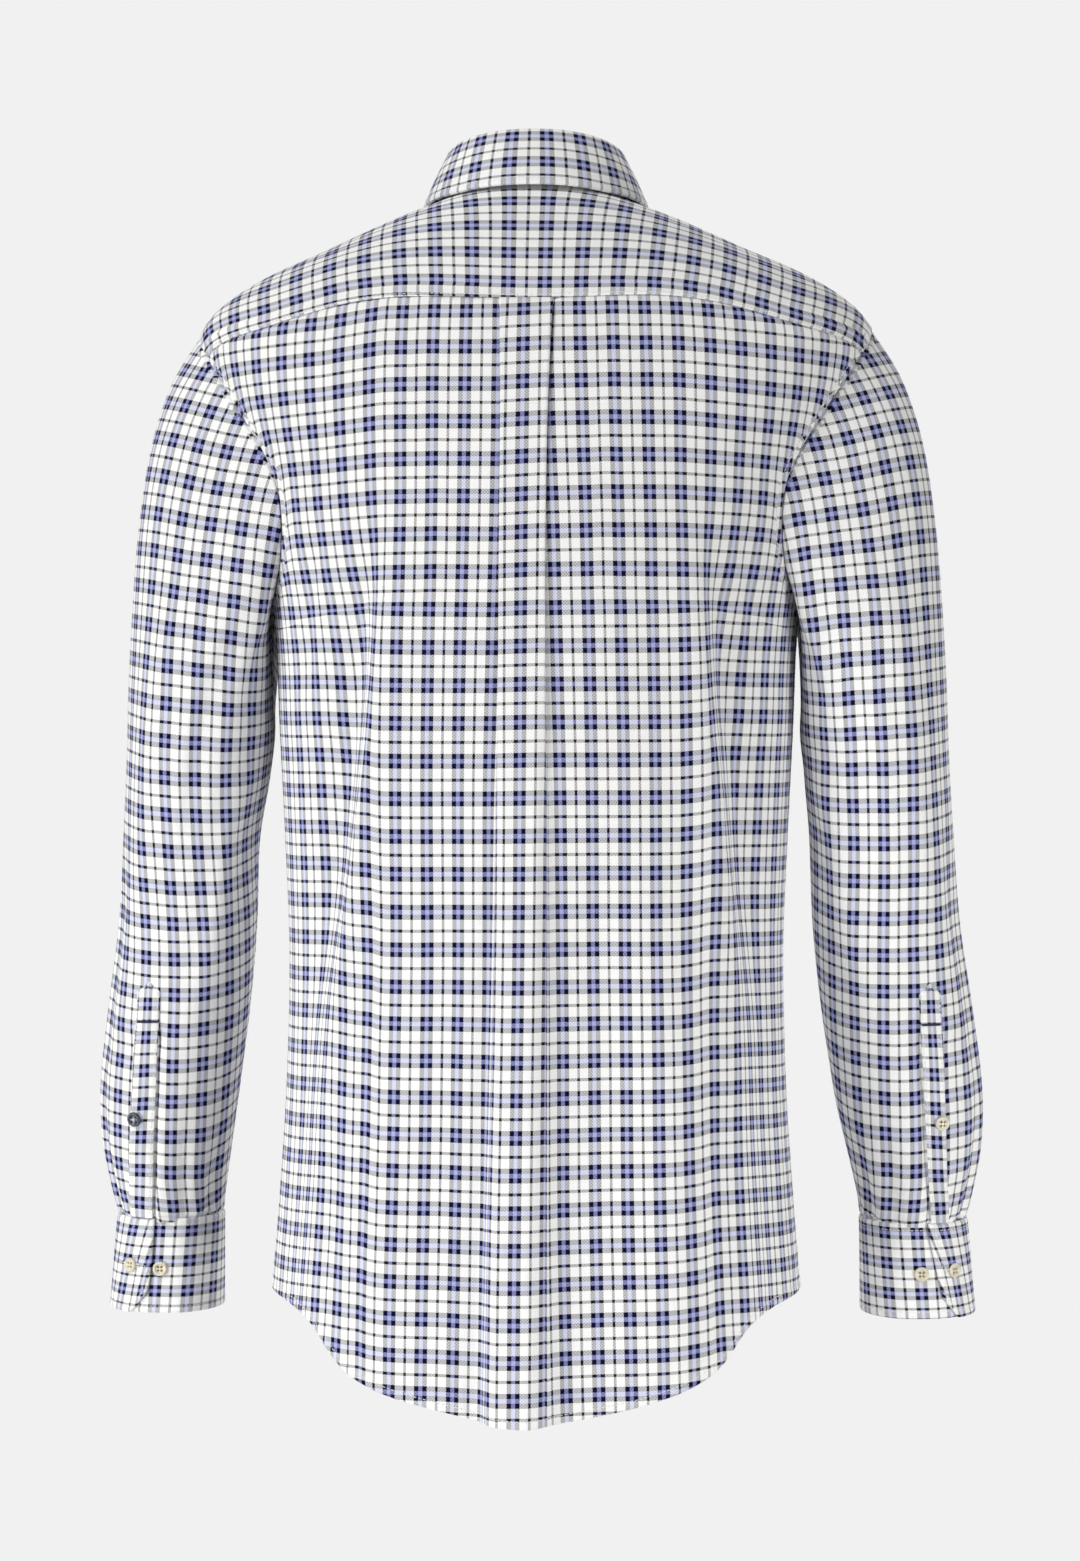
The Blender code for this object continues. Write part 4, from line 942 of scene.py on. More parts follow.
    def rows_between(self, edge: Array, theta: Array, top_level: Array) -> Array:
        """The levels of a panel's rows, which bend to the hem below and to the top edge above.

        Args:
            edge: theta and level up the panel's side edge.
            theta: theta of each point, rows by columns.
            top_level: the level of the top edge in each column.

        Returns:
            The level of each point.
        """
        height = edge[:, 1]
        near_hem = (1 - smooth_step(height, height[0], height[0] + self.hem_reach))[:, None]
        near_top = smooth_step(height, height[-1] - self.top_reach, height[-1])[:, None]
        level = (height[:, None] + near_hem * (self.hem_level(theta[0]) - height[0])
                 + near_top * (top_level - height[-1]))
        reach = (edge[:, :1] - np.abs(theta)) / edge[:, :1] / 2 / self.dip_reach
        beside = np.exp(-((height - ARMHOLE[0].level) / self.dip_spread) ** 2)[:, None]
        return level - self.dip * beside * reach * np.exp(1 - np.abs(reach))


@dataclass
class SleeveForm:
    """A sleeve's form, from its armhole (down 0) to its cuff (down 1)."""
    side: Side
    body: BodyForm
    fuller: float = 5.0 * MM
    head_fade: float = 0.42

    def section(self, turn: Array, down: Array) -> Array:
        """The points of the sleeve's own sections, on the wearer's left."""
        ox, oz, ix, iz, my, back, front = np.moveaxis(smooth_read(SLEEVE, down), -1, 0)
        c, s = np.cos(np.radians(turn)), np.sin(np.radians(turn))
        if self.side is Side.RIGHT:
            ix = ix - self.fuller * smooth_step(down, 0.40, 0.56) * smooth_step(down, 0.98, 0.80)
        half = (1 + c) / 2
        return np.stack([ix + (ox - ix) * half, my + np.where(s > 0, back, front) * s,
                         iz + (oz - iz) * half], axis=-1)

    def plain(self, turn: Array, down: Array) -> Array:
        """The sleeve without creases.

        Args:
            turn: degrees round, 0 outside, 90 behind and 180 towards the body.
            down: the way from the armhole to the cuff, 0 to 1.

        Returns:
            The points.
        """
        turn, down = np.broadcast_arrays(np.asarray(turn, float), np.asarray(down, float))
        seam = self.body.armhole((turn + 180.0) % 360.0 - 180.0)
        start = self.body.shaped(seam[..., 0], seam[..., 1])[0]
        start = start - self.section(turn, np.zeros_like(down))
        fade = (1 - smooth_step(down, 0.0, self.head_fade))[..., None]
        return (self.section(turn, down) + start * fade) * np.array([self.side.value, 1.0, 1.0])

    def normal(self, turn: Array, down: Array) -> Array:
        """The way out of the sleeve, for the same places as plain takes."""
        step, drop = 2.0, 0.008
        around = self.plain(turn + step, down) - self.plain(turn - step, down)
        along = (self.plain(turn, np.minimum(down + drop, 1.0))
                 - self.plain(turn, np.maximum(down - drop, 0.0)))
        return unit(np.cross(along, around)) * self.side.value


# ---------------------------------------------------------------- finishes
def linear(code: str) -> tuple[float, float, float, float]:
    """An sRGB hex colour as linear values.

    Args:
        code: the colour, as #RRGGBB.

    Returns:
        Four values, as Blender's colour sockets take them.
    """
    parts = [int(code[i:i + 2], 16) / 255 for i in (1, 3, 5)]
    values = [p / 12.92 if p <= 0.04045 else ((p + 0.055) / 1.055) ** 2.4 for p in parts]
    return (values[0], values[1], values[2], 1.0)


def add_node(tree: NodeTree, kind: str, inputs: dict | None = None, **settings: object) -> Node:
    """Adds a shader node with its settings, its values and its links.

    Args:
        tree: the node tree.
        kind: Blender's name for the node, after ShaderNode.
        inputs: for each input, by name or number, a value, or the node or socket that feeds it.
        settings: the node's own properties.

    Returns:
        The node.
    """
    node = tree.nodes.new("ShaderNode" + kind)
    for name, value in settings.items():
        setattr(node, name, value)
    for socket, value in (inputs or {}).items():
        source = value.outputs[0] if isinstance(value, Node) else value
        if isinstance(source, NodeSocket):
            tree.links.new(source, node.inputs[socket])
        else:
            node.inputs[socket].default_value = source
    return node


def new_material(name: str) -> tuple[Material, NodeTree, Node]:
    """A material, its node tree and its shader."""
    material = bpy.data.materials.new(name)
    material.use_nodes = True
    return material, material.node_tree, material.node_tree.nodes["Principled BSDF"]


@dataclass(frozen=True)
class WovenCheck:
    """Yarn-dyed cotton poplin, woven plain and pressed.

    Warp and weft carry the same order of coloured yarns, so each place shows the mean of two
    yarns: solid where like crosses like, and half-tone where a dark stripe crosses white.
    """
    across: float = 19.6 * MM       # one repeat of the warp's stripes
    along: float = 22.5 * MM        # one repeat of the weft's
    blue_to: float = 0.060          # shares of a repeat out from the blue stripe's middle
    navy_to: float = 0.198
    white_to: float = 0.458
    soft: float = 0.005
    thread: float = 0.95 * MM       # real threads lie 0.3 mm apart, too fine to show here
    lead: float = 0.22              # how much the upper thread's colour leads
    blue: str = "#AEB3E4"
    navy: str = "#0B0B32"
    white: str = "#FEFEFD"
    olive: str = "#211F19"
    roughness: float = 0.86
    sheen: float = 0.03
    specular: float = 0.08

    def yarn(self, tree: NodeTree, place: NodeSocket, repeat: float, streak: Node) -> Node:
        """The colour of one set of yarns.

        Args:
            tree: the node tree.
            place: the place across these yarns, in metres.
            repeat: one repeat of their stripes.
            streak: the brightness of each yarn, about 1.

        Returns:
            The node that gives the colour.
        """
        scaled = add_node(tree, "Math", {0: place, 1: repeat}, operation="DIVIDE")
        folded = add_node(tree, "Math", {0: scaled, 1: 0.5}, operation="PINGPONG")
        ramp = add_node(tree, "ValToRGB", {0: folded})
        stops = [(0.0, self.blue)]
        for edge, before, after in ((self.blue_to, self.blue, self.navy),
                                    (self.navy_to, self.navy, self.white),
                                    (self.white_to, self.white, self.olive)):
            stops += [(edge - self.soft, before), (edge + self.soft, after)]
        elements = ramp.color_ramp.elements
        for element, (position, colour) in zip(elements, (stops[0], stops[-1])):
            element.position, element.color = position, linear(colour)
        for position, colour in stops[1:-1]:
            elements.new(position).color = linear(colour)
        return add_node(tree, "VectorMath", {0: ramp, "Scale": streak}, operation="SCALE")

    def material(self) -> Material:
        """The cloth's material, which reads the flat cloth's coordinates in metres.

        Returns:
            The material.
        """
        material, tree, shader = new_material("yarn_dyed_cotton_poplin")
        flat = add_node(tree, "UVMap", uv_map="flat_cloth")
        places = add_node(tree, "SeparateXYZ", {0: flat}).outputs[:2]
        # Uneven yarns: faint streaks along each thread.
        streaks = []
        for stretch in ((900.0, 22.0, 1.0), (22.0, 900.0, 1.0)):
            run = add_node(tree, "VectorMath", {0: flat, 1: stretch}, operation="MULTIPLY")
            noise = add_node(tree, "TexNoise", {"Vector": run, "Scale": 1.0, "Detail": 1.0})
            streaks.append(add_node(tree, "MapRange",
                                    {0: noise, 1: 0.25, 2: 0.75, 3: 0.95, 4: 1.04}))
        warp, weft = (self.yarn(tree, place, repeat, streak) for place, repeat, streak
                      in zip(places, (self.across, self.along), streaks))
        # Where a warp thread lies on top its colour leads, and next to it the weft's.
        waves = []
        for place in places:
            turn = add_node(tree, "Math", {0: place, 1: math.pi / self.thread},
                            operation="MULTIPLY")
            waves.append(add_node(tree, "Math", {0: turn}, operation="SINE"))
        over = add_node(tree, "Math", {0: waves[0], 1: waves[1]}, operation="MULTIPLY")
        share = add_node(tree, "Math", {0: over, 1: self.lead, 2: 0.5}, operation="MULTIPLY_ADD",
                         use_clamp=True)
        colour = add_node(tree, "Mix", {0: share, 6: weft, 7: warp}, data_type="RGBA")
        tree.links.new(colour.outputs[2], shader.inputs["Base Color"])
        # Threads stand up as fine relief, and washing leaves a faint crumple 12 to 20 mm across.
        relief = add_node(tree, "Math", {0: over}, operation="ABSOLUTE")
        threads = add_node(tree, "Bump",
                           {"Strength": 0.35, "Distance": 0.12 * MM, "Height": relief})
        crumple = add_node(tree, "TexNoise",
                           {"Vector": flat, "Scale": 55.0, "Detail": 3.0, "Roughness": 0.5})
        soft = add_node(tree, "Bump", {"Strength": 0.45, "Distance": 0.9 * MM, "Height": crumple,
                                       "Normal": threads})
        tree.links.new(soft.outputs[0], shader.inputs["Normal"])
        shader.inputs["Roughness"].default_value = self.roughness
        shader.inputs["Sheen Weight"].default_value = self.sheen
        shader.inputs["Sheen Roughness"].default_value = 0.5
        shader.inputs["Specular IOR Level"].default_value = self.specular
        return material


@dataclass(frozen=True)
class SpunThread:
    """Spun polyester sewing thread, twisted: matt, with a fine slanting relief, and painted shade
    that darkens its colour in the grooves of the twist.
    """
    name: str
    colour: str
    roughness: float = 0.7

    def material(self) -> Material:
        """The thread's material.

        Returns:
            The material.
        """
        material, tree, shader = new_material(self.name)
        place = add_node(tree, "TexCoord").outputs["Object"]
        twist = add_node(tree, "TexWave", {"Vector": place, "Scale": 900.0, "Distortion": 1.5},
                         bands_direction="DIAGONAL").outputs["Fac"]
        # Painted shade: the colour darkens to 0.86 where the twist's relief is low, in its grooves.
        tone = add_node(tree, "MapRange", {0: twist, 3: 0.86, 4: 1.0})
        colour = add_node(tree, "VectorMath", {0: linear(self.colour)[:3], "Scale": tone},
                          operation="SCALE")
        tree.links.new(colour.outputs[0], shader.inputs["Base Color"])
        bump = add_node(tree, "Bump", {"Strength": 0.4, "Distance": 0.08 * MM, "Height": twist})
        tree.links.new(bump.outputs[0], shader.inputs["Normal"])
        shader.inputs["Roughness"].default_value = self.roughness
        return material


@dataclass(frozen=True)
class PolishedResin:
    """Cast polyester resin, turned and polished: cloudy in depth, smooth and softly glossy."""
    name: str
    colour: str
    cloud: str
    roughness: float = 0.24
    ior: float = 1.55

    def material(self) -> Material:
        """The button's material.

        Returns:
            The material.
        """
        material, tree, shader = new_material(self.name)
        place = add_node(tree, "TexCoord").outputs["Object"]
        swirl = add_node(tree, "TexNoise", {"Vector": place, "Scale": 260.0, "Detail": 3.0,
                                            "Distortion": 1.2})
        colour = add_node(tree, "Mix", {0: swirl, 6: linear(self.colour), 7: linear(self.cloud)},
                          data_type="RGBA")
        tree.links.new(colour.outputs[2], shader.inputs["Base Color"])
        shine = add_node(tree, "MapRange",
                         {0: swirl, 3: self.roughness - 0.05, 4: self.roughness + 0.08})
        tree.links.new(shine.outputs[0], shader.inputs["Roughness"])
        lathe = add_node(tree, "TexNoise", {"Vector": place, "Scale": 1400.0})
        bump = add_node(tree, "Bump", {"Strength": 0.12, "Distance": 0.04 * MM, "Height": lathe})
        tree.links.new(bump.outputs[0], shader.inputs["Normal"])
        shader.inputs["IOR"].default_value = self.ior
        return material


@dataclass(frozen=True)
class PaintedCove:
    """Matt white studio paint, evenly lit: it shows as one pale tone without shadows."""
    tone: str = "#F1F1F1"

    def material(self) -> Material:
        """The cove's material.

        Returns:
            The material.
        """
        material, tree, _ = new_material("matt_studio_paint")
        tree.nodes.clear()
        glow = add_node(tree, "Emission", {0: linear(self.tone)})
        add_node(tree, "OutputMaterial", {0: glow})
        return material


class Finishes:
    """The shirt's materials, each made once."""

    def __init__(self) -> None:
        """Makes them."""
        self.cloth = WovenCheck().material()
        self.white_thread = SpunThread("spun_white_thread", "#F4F3EE").material()
        self.navy_thread = SpunThread("spun_navy_thread", "#2B3150").material()
        # Partly painted shade: this thread's dark colour makes the cream buttons' holes show dark
        # where its knots sit in them.
        self.brown_thread = SpunThread("spun_brown_thread", "#4A3C2C").material()
        self.cream_resin = PolishedResin("polished_cream_resin", "#D9CFB2", "#EDE7D3").material()
        self.navy_resin = PolishedResin("polished_navy_resin", "#2F3446", "#4A5164").material()


# ---------------------------------------------------------------- pieces
def place_mesh(name: str, points: Array, faces: list, material: Material,
               sharp: float = 60.0) -> Object:
    """Makes a mesh object that rides with the shirt.

    Args:
        name: the piece's name.
        points: its points.
        faces: its faces, as lists of point numbers.
        material: its material.
        sharp: edges that turn more than this many degrees stay crisp.

    Returns:
        The object.
    """
    mesh = bpy.data.meshes.new(name)
    mesh.from_pydata(points.tolist(), [], faces)
    mesh.update()
    mesh.shade_smooth()
    mesh.set_sharp_from_angle(angle=math.radians(sharp))
    mesh.materials.append(material)
    thing = bpy.data.objects.new(name, mesh)
    bpy.context.scene.collection.objects.link(thing)
    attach(thing, BODY)
    return thing


def place_cloth(node: str, grid: ClothGrid, wall: float, cut: Cut, material: Material) -> None:
    """Args:
        node: the CAD node that it replaces.
        grid: the cloth.
        wall: how thick it is.
        cut: which way the cloth's length runs.
        material: its material.
    """
    rows, columns = grid.points.shape[:2]
    count = rows * columns
    index = np.arange(count).reshape(rows, columns)
    corners = (index[:-1, :-1], index[:-1, 1:], index[1:, 1:], index[1:, :-1])
    outside = np.stack(corners, axis=-1).reshape(-1, 4)
    rim = np.concatenate([index[0, :-1], index[:-1, -1], index[-1, :0:-1], index[:0:-1, 0]])
    after = np.roll(rim, -1)
    edges = np.stack([after, rim, rim + count, after + count], axis=-1)
    faces = np.concatenate([outside, outside[:, ::-1] + count, edges])
    outer, normals = grid.points.reshape(-1, 3), grid.normals.reshape(-1, 3)
    corner = outer[outside]
    facing = np.cross(corner[:, 1] - corner[:, 0], corner[:, 3] - corner[:, 0])
    if (facing * normals[outside[:, 0]]).sum() < 0:
        faces = faces[:, ::-1]
    piece = place_mesh("cloth_" + node, np.concatenate([outer, outer - normals * wall]),
                       faces.tolist(), material)
    flat = grid.flat.reshape(-1, 2)
    if cut is Cut.CROSSWISE:
        flat = flat[:, ::-1]
    layer = piece.data.uv_layers.new(name="flat_cloth")
    used = np.empty(len(piece.data.loops), np.int32)
    piece.data.loops.foreach_get("vertex_index", used)
    layer.data.foreach_set("uv", flat[used % count].astype(np.float32).ravel())

    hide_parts(node)


@dataclass
class Stitching:
    """Rows of stitches in one thread, gathered into one piece."""
    name: str
    material: Material
    radius: float = 0.26 * MM
    sides: int = 6
    points: list[Array] = field(default_factory=list)
    faces: list[Array] = field(default_factory=list)
    count: int = 0

    def add_bars(self, starts: Array, ends: Array, normals: Array,
                 bow: float = 0.5) -> None:
        """Adds single stitches, each a short bar with sunk ends.

        Args:
            starts: where each starts.
            ends: where each ends.
            normals: the way out of the cloth at each.
            bow: how high each stands at its middle, in radii.
        """
        shares = np.array([0.0, 0.22, 0.78, 1.0])
        lifts = np.array([-0.9, bow, bow, -0.9]) * self.radius
        sizes = np.array([0.45, 1.0, 1.0, 0.45]) * self.radius
        along = unit(ends - starts)
        side = unit(np.cross(along, normals))
        up = np.cross(side, along)
        centres = (starts[:, None] + (ends - starts)[:, None] * shares[None, :, None]
                   + up[:, None] * lifts[None, :, None])
        angles = np.arange(self.sides) * 2 * math.pi / self.sides
        rings = (side[:, None, None] * np.cos(angles)[None, None, :, None]
                 + up[:, None, None] * np.sin(angles)[None, None, :, None])
        points = centres[:, :, None] + rings * sizes[None, :, None, None]
        ring = np.arange(self.sides)
        after = np.roll(ring, -1)
        wall = np.stack([ring, after, after + self.sides, ring + self.sides], axis=-1)
        walls = np.concatenate([wall + k * self.sides for k in range(len(shares) - 1)])
        each = len(shares) * self.sides
        offsets = self.count + np.arange(len(starts)) * each
        self.points.append(points.reshape(-1, 3))
        self.faces.append((walls[None] + offsets[:, None, None]).reshape(-1, 4))
        self.count += each * len(starts)

    def add_run(self, line: Array, normals: Array) -> None:
        """Adds a row of stitches along a line on the cloth.

        Args:
            line: the line's points.
            normals: the way out of the cloth along it.
        """
        run = arc_lengths(line)
        starts = np.arange(STITCH_PITCH / 2, run[-1] - STITCH_LENGTH, STITCH_PITCH)

        def read(values: Array, at: Array) -> Array:
            """The values along the line at these places."""
            return np.stack([np.interp(at, run, values[:, k]) for k in range(3)], axis=-1)

        self.add_bars(read(line, starts), read(line, starts + STITCH_LENGTH),
                      unit(read(normals, starts + STITCH_LENGTH / 2)))

    def follow(self, grid: ClothGrid, distance: float, *edges: Edge) -> None:
        """Adds a row of stitches along each of these edges, this far in."""
        for edge in edges:
            self.add_run(*grid.at_distance(edge, distance))

    def build(self) -> Object:
        """Makes the piece.

        Returns:
            The piece.
        """
        faces = np.concatenate(self.faces).tolist()
        piece = place_mesh(self.name, np.concatenate(self.points), faces, self.material, 180.0)
        return piece


@dataclass
class Buttons:
    """The sewn-on resin buttons, four-holed, and the thread that holds them; on the cream buttons
    its dark knots also paint the shade in their holes.
    """
    finishes: Finishes
    thick: float = 2.2 * MM
    sides: int = 48
    rings: int = 20
    hole_out: float = 0.24          # shares of the radius
    hole: float = 0.15
    knot: float = 0.34 * MM
    threads: dict[str, Stitching] = field(default_factory=dict)

    def top_height(self, x: Array, y: Array) -> Array:
        """The top's height in thicknesses: a dish inside a rounded rim, with four holes.

        Args:
            x: places across, in radii.
            y: places up, in radii.

        Returns:
            The heights.
        """
        r = np.hypot(x, y)
        rim = 0.62 + 0.38 * smooth_step(r, 0.56, 0.74) - 0.42 * smooth_step(r, 0.86, 1.0) ** 1.5
        away = np.hypot(np.abs(x) - self.hole_out, np.abs(y) - self.hole_out)
        return rim - 0.55 * smooth_step(away, self.hole + 0.03, self.hole - 0.04)

    def build(self, node: str, centre: Array, normal: Array, radius: float, up: Array,
              navy: bool = False) -> None:
        """Makes one button and its thread.

        Args:
            node: the node that it replaces.
            centre: the middle of its underside.
            normal: the way that it faces.
            radius: its radius.
            up: roughly the way that is up on it.
            navy: whether it is the navy one.
        """
        normal = unit(np.asarray(normal, float))
        across = unit(np.cross(up, normal))
        up = np.cross(normal, across)
        radii = np.concatenate([[0.06], np.linspace(0.10, 0.46, self.rings - 7),
                                [0.56, 0.65, 0.74, 0.85, 0.94, 1.0]])
        angles = np.arange(self.sides) * 2 * math.pi / self.sides
        x, y = radii[:, None] * np.cos(angles), radii[:, None] * np.sin(angles)
        heights = self.top_height(x, y)
        # Below the top: its edge, the side and the underside, as radii and heights.
        for r, h in ((1.02, 0.36), (0.99, 0.14), (0.90, 0.02), (0.50, 0.0)):
            x, y = np.vstack([x, r * np.cos(angles)]), np.vstack([y, r * np.sin(angles)])
            heights = np.vstack([heights, np.full(self.sides, h)])
        points = (centre + (x * radius)[..., None] * across + (y * radius)[..., None] * up
                  + (heights * self.thick)[..., None] * normal).reshape(-1, 3)
        faces = []
        for k in range(len(x) - 1):
            for s in range(self.sides):
                n = (s + 1) % self.sides
                faces.append((k * self.sides + s, (k + 1) * self.sides + s,
                              (k + 1) * self.sides + n, k * self.sides + n))
        faces.append(tuple(range(self.sides)))
        faces.append(tuple((len(x) - 1) * self.sides + s for s in range(self.sides - 1, -1, -1)))
        resin = self.finishes.navy_resin if navy else self.finishes.cream_resin
        piece = place_mesh("sewn_" + node, points, faces, resin, 50.0)
        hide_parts(node)
        out = self.hole_out * radius
        corner = [across * out * a + up * out * b for a, b in ((1, 1), (-1, -1), (-1, 1), (1, -1))]
        if navy:
            name, finish, high = "button_threads_white", self.finishes.white_thread, 0.70
            starts, ends = np.array([corner[0], corner[2]]), np.array([corner[1], corner[3]])
        else:
            # Real thread, but its knots sit low in each hole, and their dark colour is painted
            # shade for the hole.
            name, finish, high = "button_threads_brown", self.finishes.brown_thread, 0.20
            middle = np.array(corner)
            starts, ends = middle - across * self.knot, middle + across * self.knot
        thread = self.threads.setdefault(name, Stitching(name, finish, radius=self.knot))
        top = centre + normal * self.thick * high
        thread.add_bars(starts + top, ends + top, np.broadcast_to(normal, starts.shape), bow=1.0)

    def finish(self) -> None:
        """Makes the threads of all the buttons."""
        for thread in self.threads.values():
            thread.build()
        LOG.info("buttons: thread sewn")


@dataclass
class Body:
    """The body: back with its pleat, yoke, two fronts and the buttonhole placket."""
    form: BodyForm
    finishes: Finishes
    wall: float = 0.9 * MM
    gap: float = 0.35 * MM
    coarse: float = 5.0 * MM
    placket_half: float = 17.5 * MM
    placket_rise: float = 1.2 * MM
    placket_wall: float = 1.4 * MM
    under_edge: float = 10.0 * MM
    under_bend: tuple[float, float] = (0.045, 0.024)
    under_drop: float = 1.8 * MM
    yoke_turns: tuple[float, float] = (-25.0, 27.0)
    yoke_tilt: float = 0.02         # its grain lies a degree off the seam
    yoke_ease: float = 0.972        # it is pressed a little longer over the shoulders
    neck_front: float = 113.0
    neck_back: float = 66.0
    front_buttons: tuple[float, ...] = (-0.155, -0.245, -0.335, -0.425, -0.515, -0.605)
    button_radius: float = 5.6 * MM
    button_lift: float = 0.45 * MM
    buttonhole: float = 15.0 * MM
    yoke_stitch: float = 1.6 * MM   # from the yoke's seam to its row of stitches
    yoke_block: tuple[float, float] = (-0.0105, 0.104)      # a blue block's X and Y
    yoke_row: float = 10.2 * MM     # and how far above the seam it lies
    front_stripe: float = 0.0560    # a blue stripe of the fronts, out from the middle
    front_row: float = -0.4007
    back_stripe: float = 0.95 * MM  # the blue stripe's middle, from the middle of the pleat
    back_row: float = -0.1307
    side_fold_half: float = 8.5 * MM

    def back_thetas(self, edge: Array) -> tuple[Array, int]:
        """Where the back's columns run, so that some follow the pleat's edges.

        Args:
            edge: theta and level up the panel's left edge.

        Returns:
            Theta, rows by columns, and the column at the pleat's middle.
        """
        middle = self.form.rows_between(edge, np.zeros((len(edge), 1)),
                                        self.form.yoke_level(np.zeros(1)))[:, 0]
        rows = smooth_read(PLEAT, middle)
        left, right = rows[:, :1], rows[:, 1:2]
        offsets = np.array(PLEAT_COLUMNS) * MM
        inside = spaced(0.030, 1.7 * MM, 6, 6, 0.8 * MM)[1:-1]
        limit = edge[:, :1]
        across = np.hstack([left + offsets[::-1], left + (right - left) * inside, right - offsets])
        inner = self.form.theta_of(across, middle[:, None])
        out_left, out_right = inner[:, :1], inner[:, -1:]
        shares = spaced(0.19, self.coarse, 0, 9)[1:]
        columns = [out_left + (limit - out_left) * shares[::-1], inner,
                   out_right - (limit + out_right) * shares]
        return (np.concatenate(columns, axis=1),
                len(shares) + len(offsets) + len(inside) // 2)

    def build_back(self) -> ClothGrid:
        """Builds the back's cloth, from the hem to under the yoke.

        Returns:
            The cloth.
        """
        top_turns = self.yoke_turns[1] + np.arange(9) * 0.7
        turns = np.concatenate([np.linspace(180.0, top_turns[-1] + 2, 46), top_turns[::-1]])
        edge = self.form.side_line(turns, self.coarse)
        theta, middle = self.back_thetas(edge)
        level = self.form.rows_between(edge, theta, self.form.yoke_level(theta[-1]))
        plain = self.form.plain(theta, level)
        points, normals = self.form.shaped(theta, level)
        flat = relax_flat(plain, arc_guess(plain, middle, 1.0))
        row = int(np.argmin(np.abs(level[:, middle] - self.back_row)))
        flat = add_extra_cloth(flat, plain, points, row, middle)
        flat[..., 0] += taken_in(SIDE_FOLDS, plain[..., 0], plain[..., 2], self.side_fold_half)
        grid = ClothGrid(points, normals, flat)
        grid.square_up(tuple(points[row // 3, middle]), tuple(points[row, middle]))
        self.fold_in(grid, plain, middle)
        panel = smooth_read(PLEAT, self.back_row)
        at = float(panel[0] + panel[1]) / 2 + self.back_stripe
        grid.anchor((at, float(points[row, middle, 1]), self.back_row))
        ease = smooth_read(BACK_EASE, plain[..., 2])
        grid.flat[..., 1] += spread(ease, BACK_EASE_AT, plain[..., 0])
        grid.sew(FELLED, *COLUMNS)
        grid.sew(HEMMED, Edge.FIRST_ROW)
        grid.sew(TUCKED, Edge.LAST_ROW)
        grid.lap_under(Edge.LAST_ROW)
        return grid

    def fold_in(self, grid: ClothGrid, plain: Array, middle: int) -> None:
        """Takes the cloth that is folded into the pleat out of sight on both sides of it.

        Args:
            grid: the back's cloth.
            plain: its points without pleat or creases.
            middle: the column at the pleat's middle.
        """
        rows = smooth_read(PLEAT, plain[:, middle, 2])
        x = plain[..., 0]
        taken = (np.linalg.norm(np.diff(grid.points, axis=1), axis=-1)
                 - np.linalg.norm(np.diff(plain, axis=1), axis=-1))
        for beyond, near, cloth, way in (
                (x - rows[:, :1], x[:, :-1] > 0, rows[:, 5], -1.0),
                (rows[:, 1:2] - x, x[:, :-1] < 0, rows[:, 6], 1.0)):
            flank = (np.abs(beyond[:, :-1]) < 27 * MM) & near
            used = (taken * flank).sum(axis=1)
            left_over = cloth - used
            grid.flat[..., 0] += (way * left_over[:, None]
                                  * smooth_step(beyond, 0.4 * MM, 2.4 * MM))

    def build_yoke(self) -> ClothGrid:
        """Builds the yoke's cloth, from its seams up to the neck.

        Returns:
            The cloth.
        """
        low, high = self.yoke_turns
        over = np.linspace(low, high, 22)
        arm = self.form.armhole(over)
        seam = YOKE_BACK_SEAM[-1].theta
        shares = np.linspace(1, -1, 111)
        back = np.stack([shares * seam, self.form.yoke_level(shares * seam)], axis=-1)
        flip = np.array([-1.0, 1.0])
        outer = np.concatenate([arm[:-1], back, (arm * flip)[::-1][1:]])
        neck = np.linspace(self.neck_front, self.neck_back, len(over))
        neck = np.concatenate([neck[:-1], shares * self.neck_back, -neck[::-1][1:]])
        neck = np.stack([neck, np.zeros_like(neck)], axis=-1)
        t = spaced(0.085, 3.4 * MM, 9, 0)[:, None, None]
        places = outer[None] * (1 - t) + neck[None] * t
        theta, level = places[..., 0], places[..., 1]
        plain, normals = self.form.plain(theta, level), self.form.normal(theta, level)
        x, y, z = np.moveaxis(plain, -1, 0)
        guess = np.stack([-x * 1.05, -y * 1.15 + z * 0.3], axis=-1)
        grid = ClothGrid(plain.copy(), normals, relax_flat(plain, guess, 900))
        middle = len(neck) // 2
        grid.square_up(tuple(plain[2, middle]), tuple(plain[-3, middle]))
        line = plain[0, len(over) - 1:len(over) - 1 + len(back)]
        run = arc_lengths(line)
        at = np.linspace(0.0, run[-1], 900)
        line = np.stack([np.interp(at, run, line[:, k]) for k in range(3)], axis=-1)
        for flat_row, row in zip(grid.flat, plain):
            away = np.linalg.norm(row[:, None] - line[None], axis=-1).min(axis=1)
            flat_row[:, 1] = self.yoke_ease * away + self.yoke_tilt * flat_row[:, 0]
        first = np.interp(self.yoke_row, arc_lengths(plain[:, middle]), plain[:, middle, 2])
        grid.anchor((*self.yoke_block, float(first)))
        grid.sew(FELLED, Edge.FIRST_ROW, *COLUMNS)
        return grid

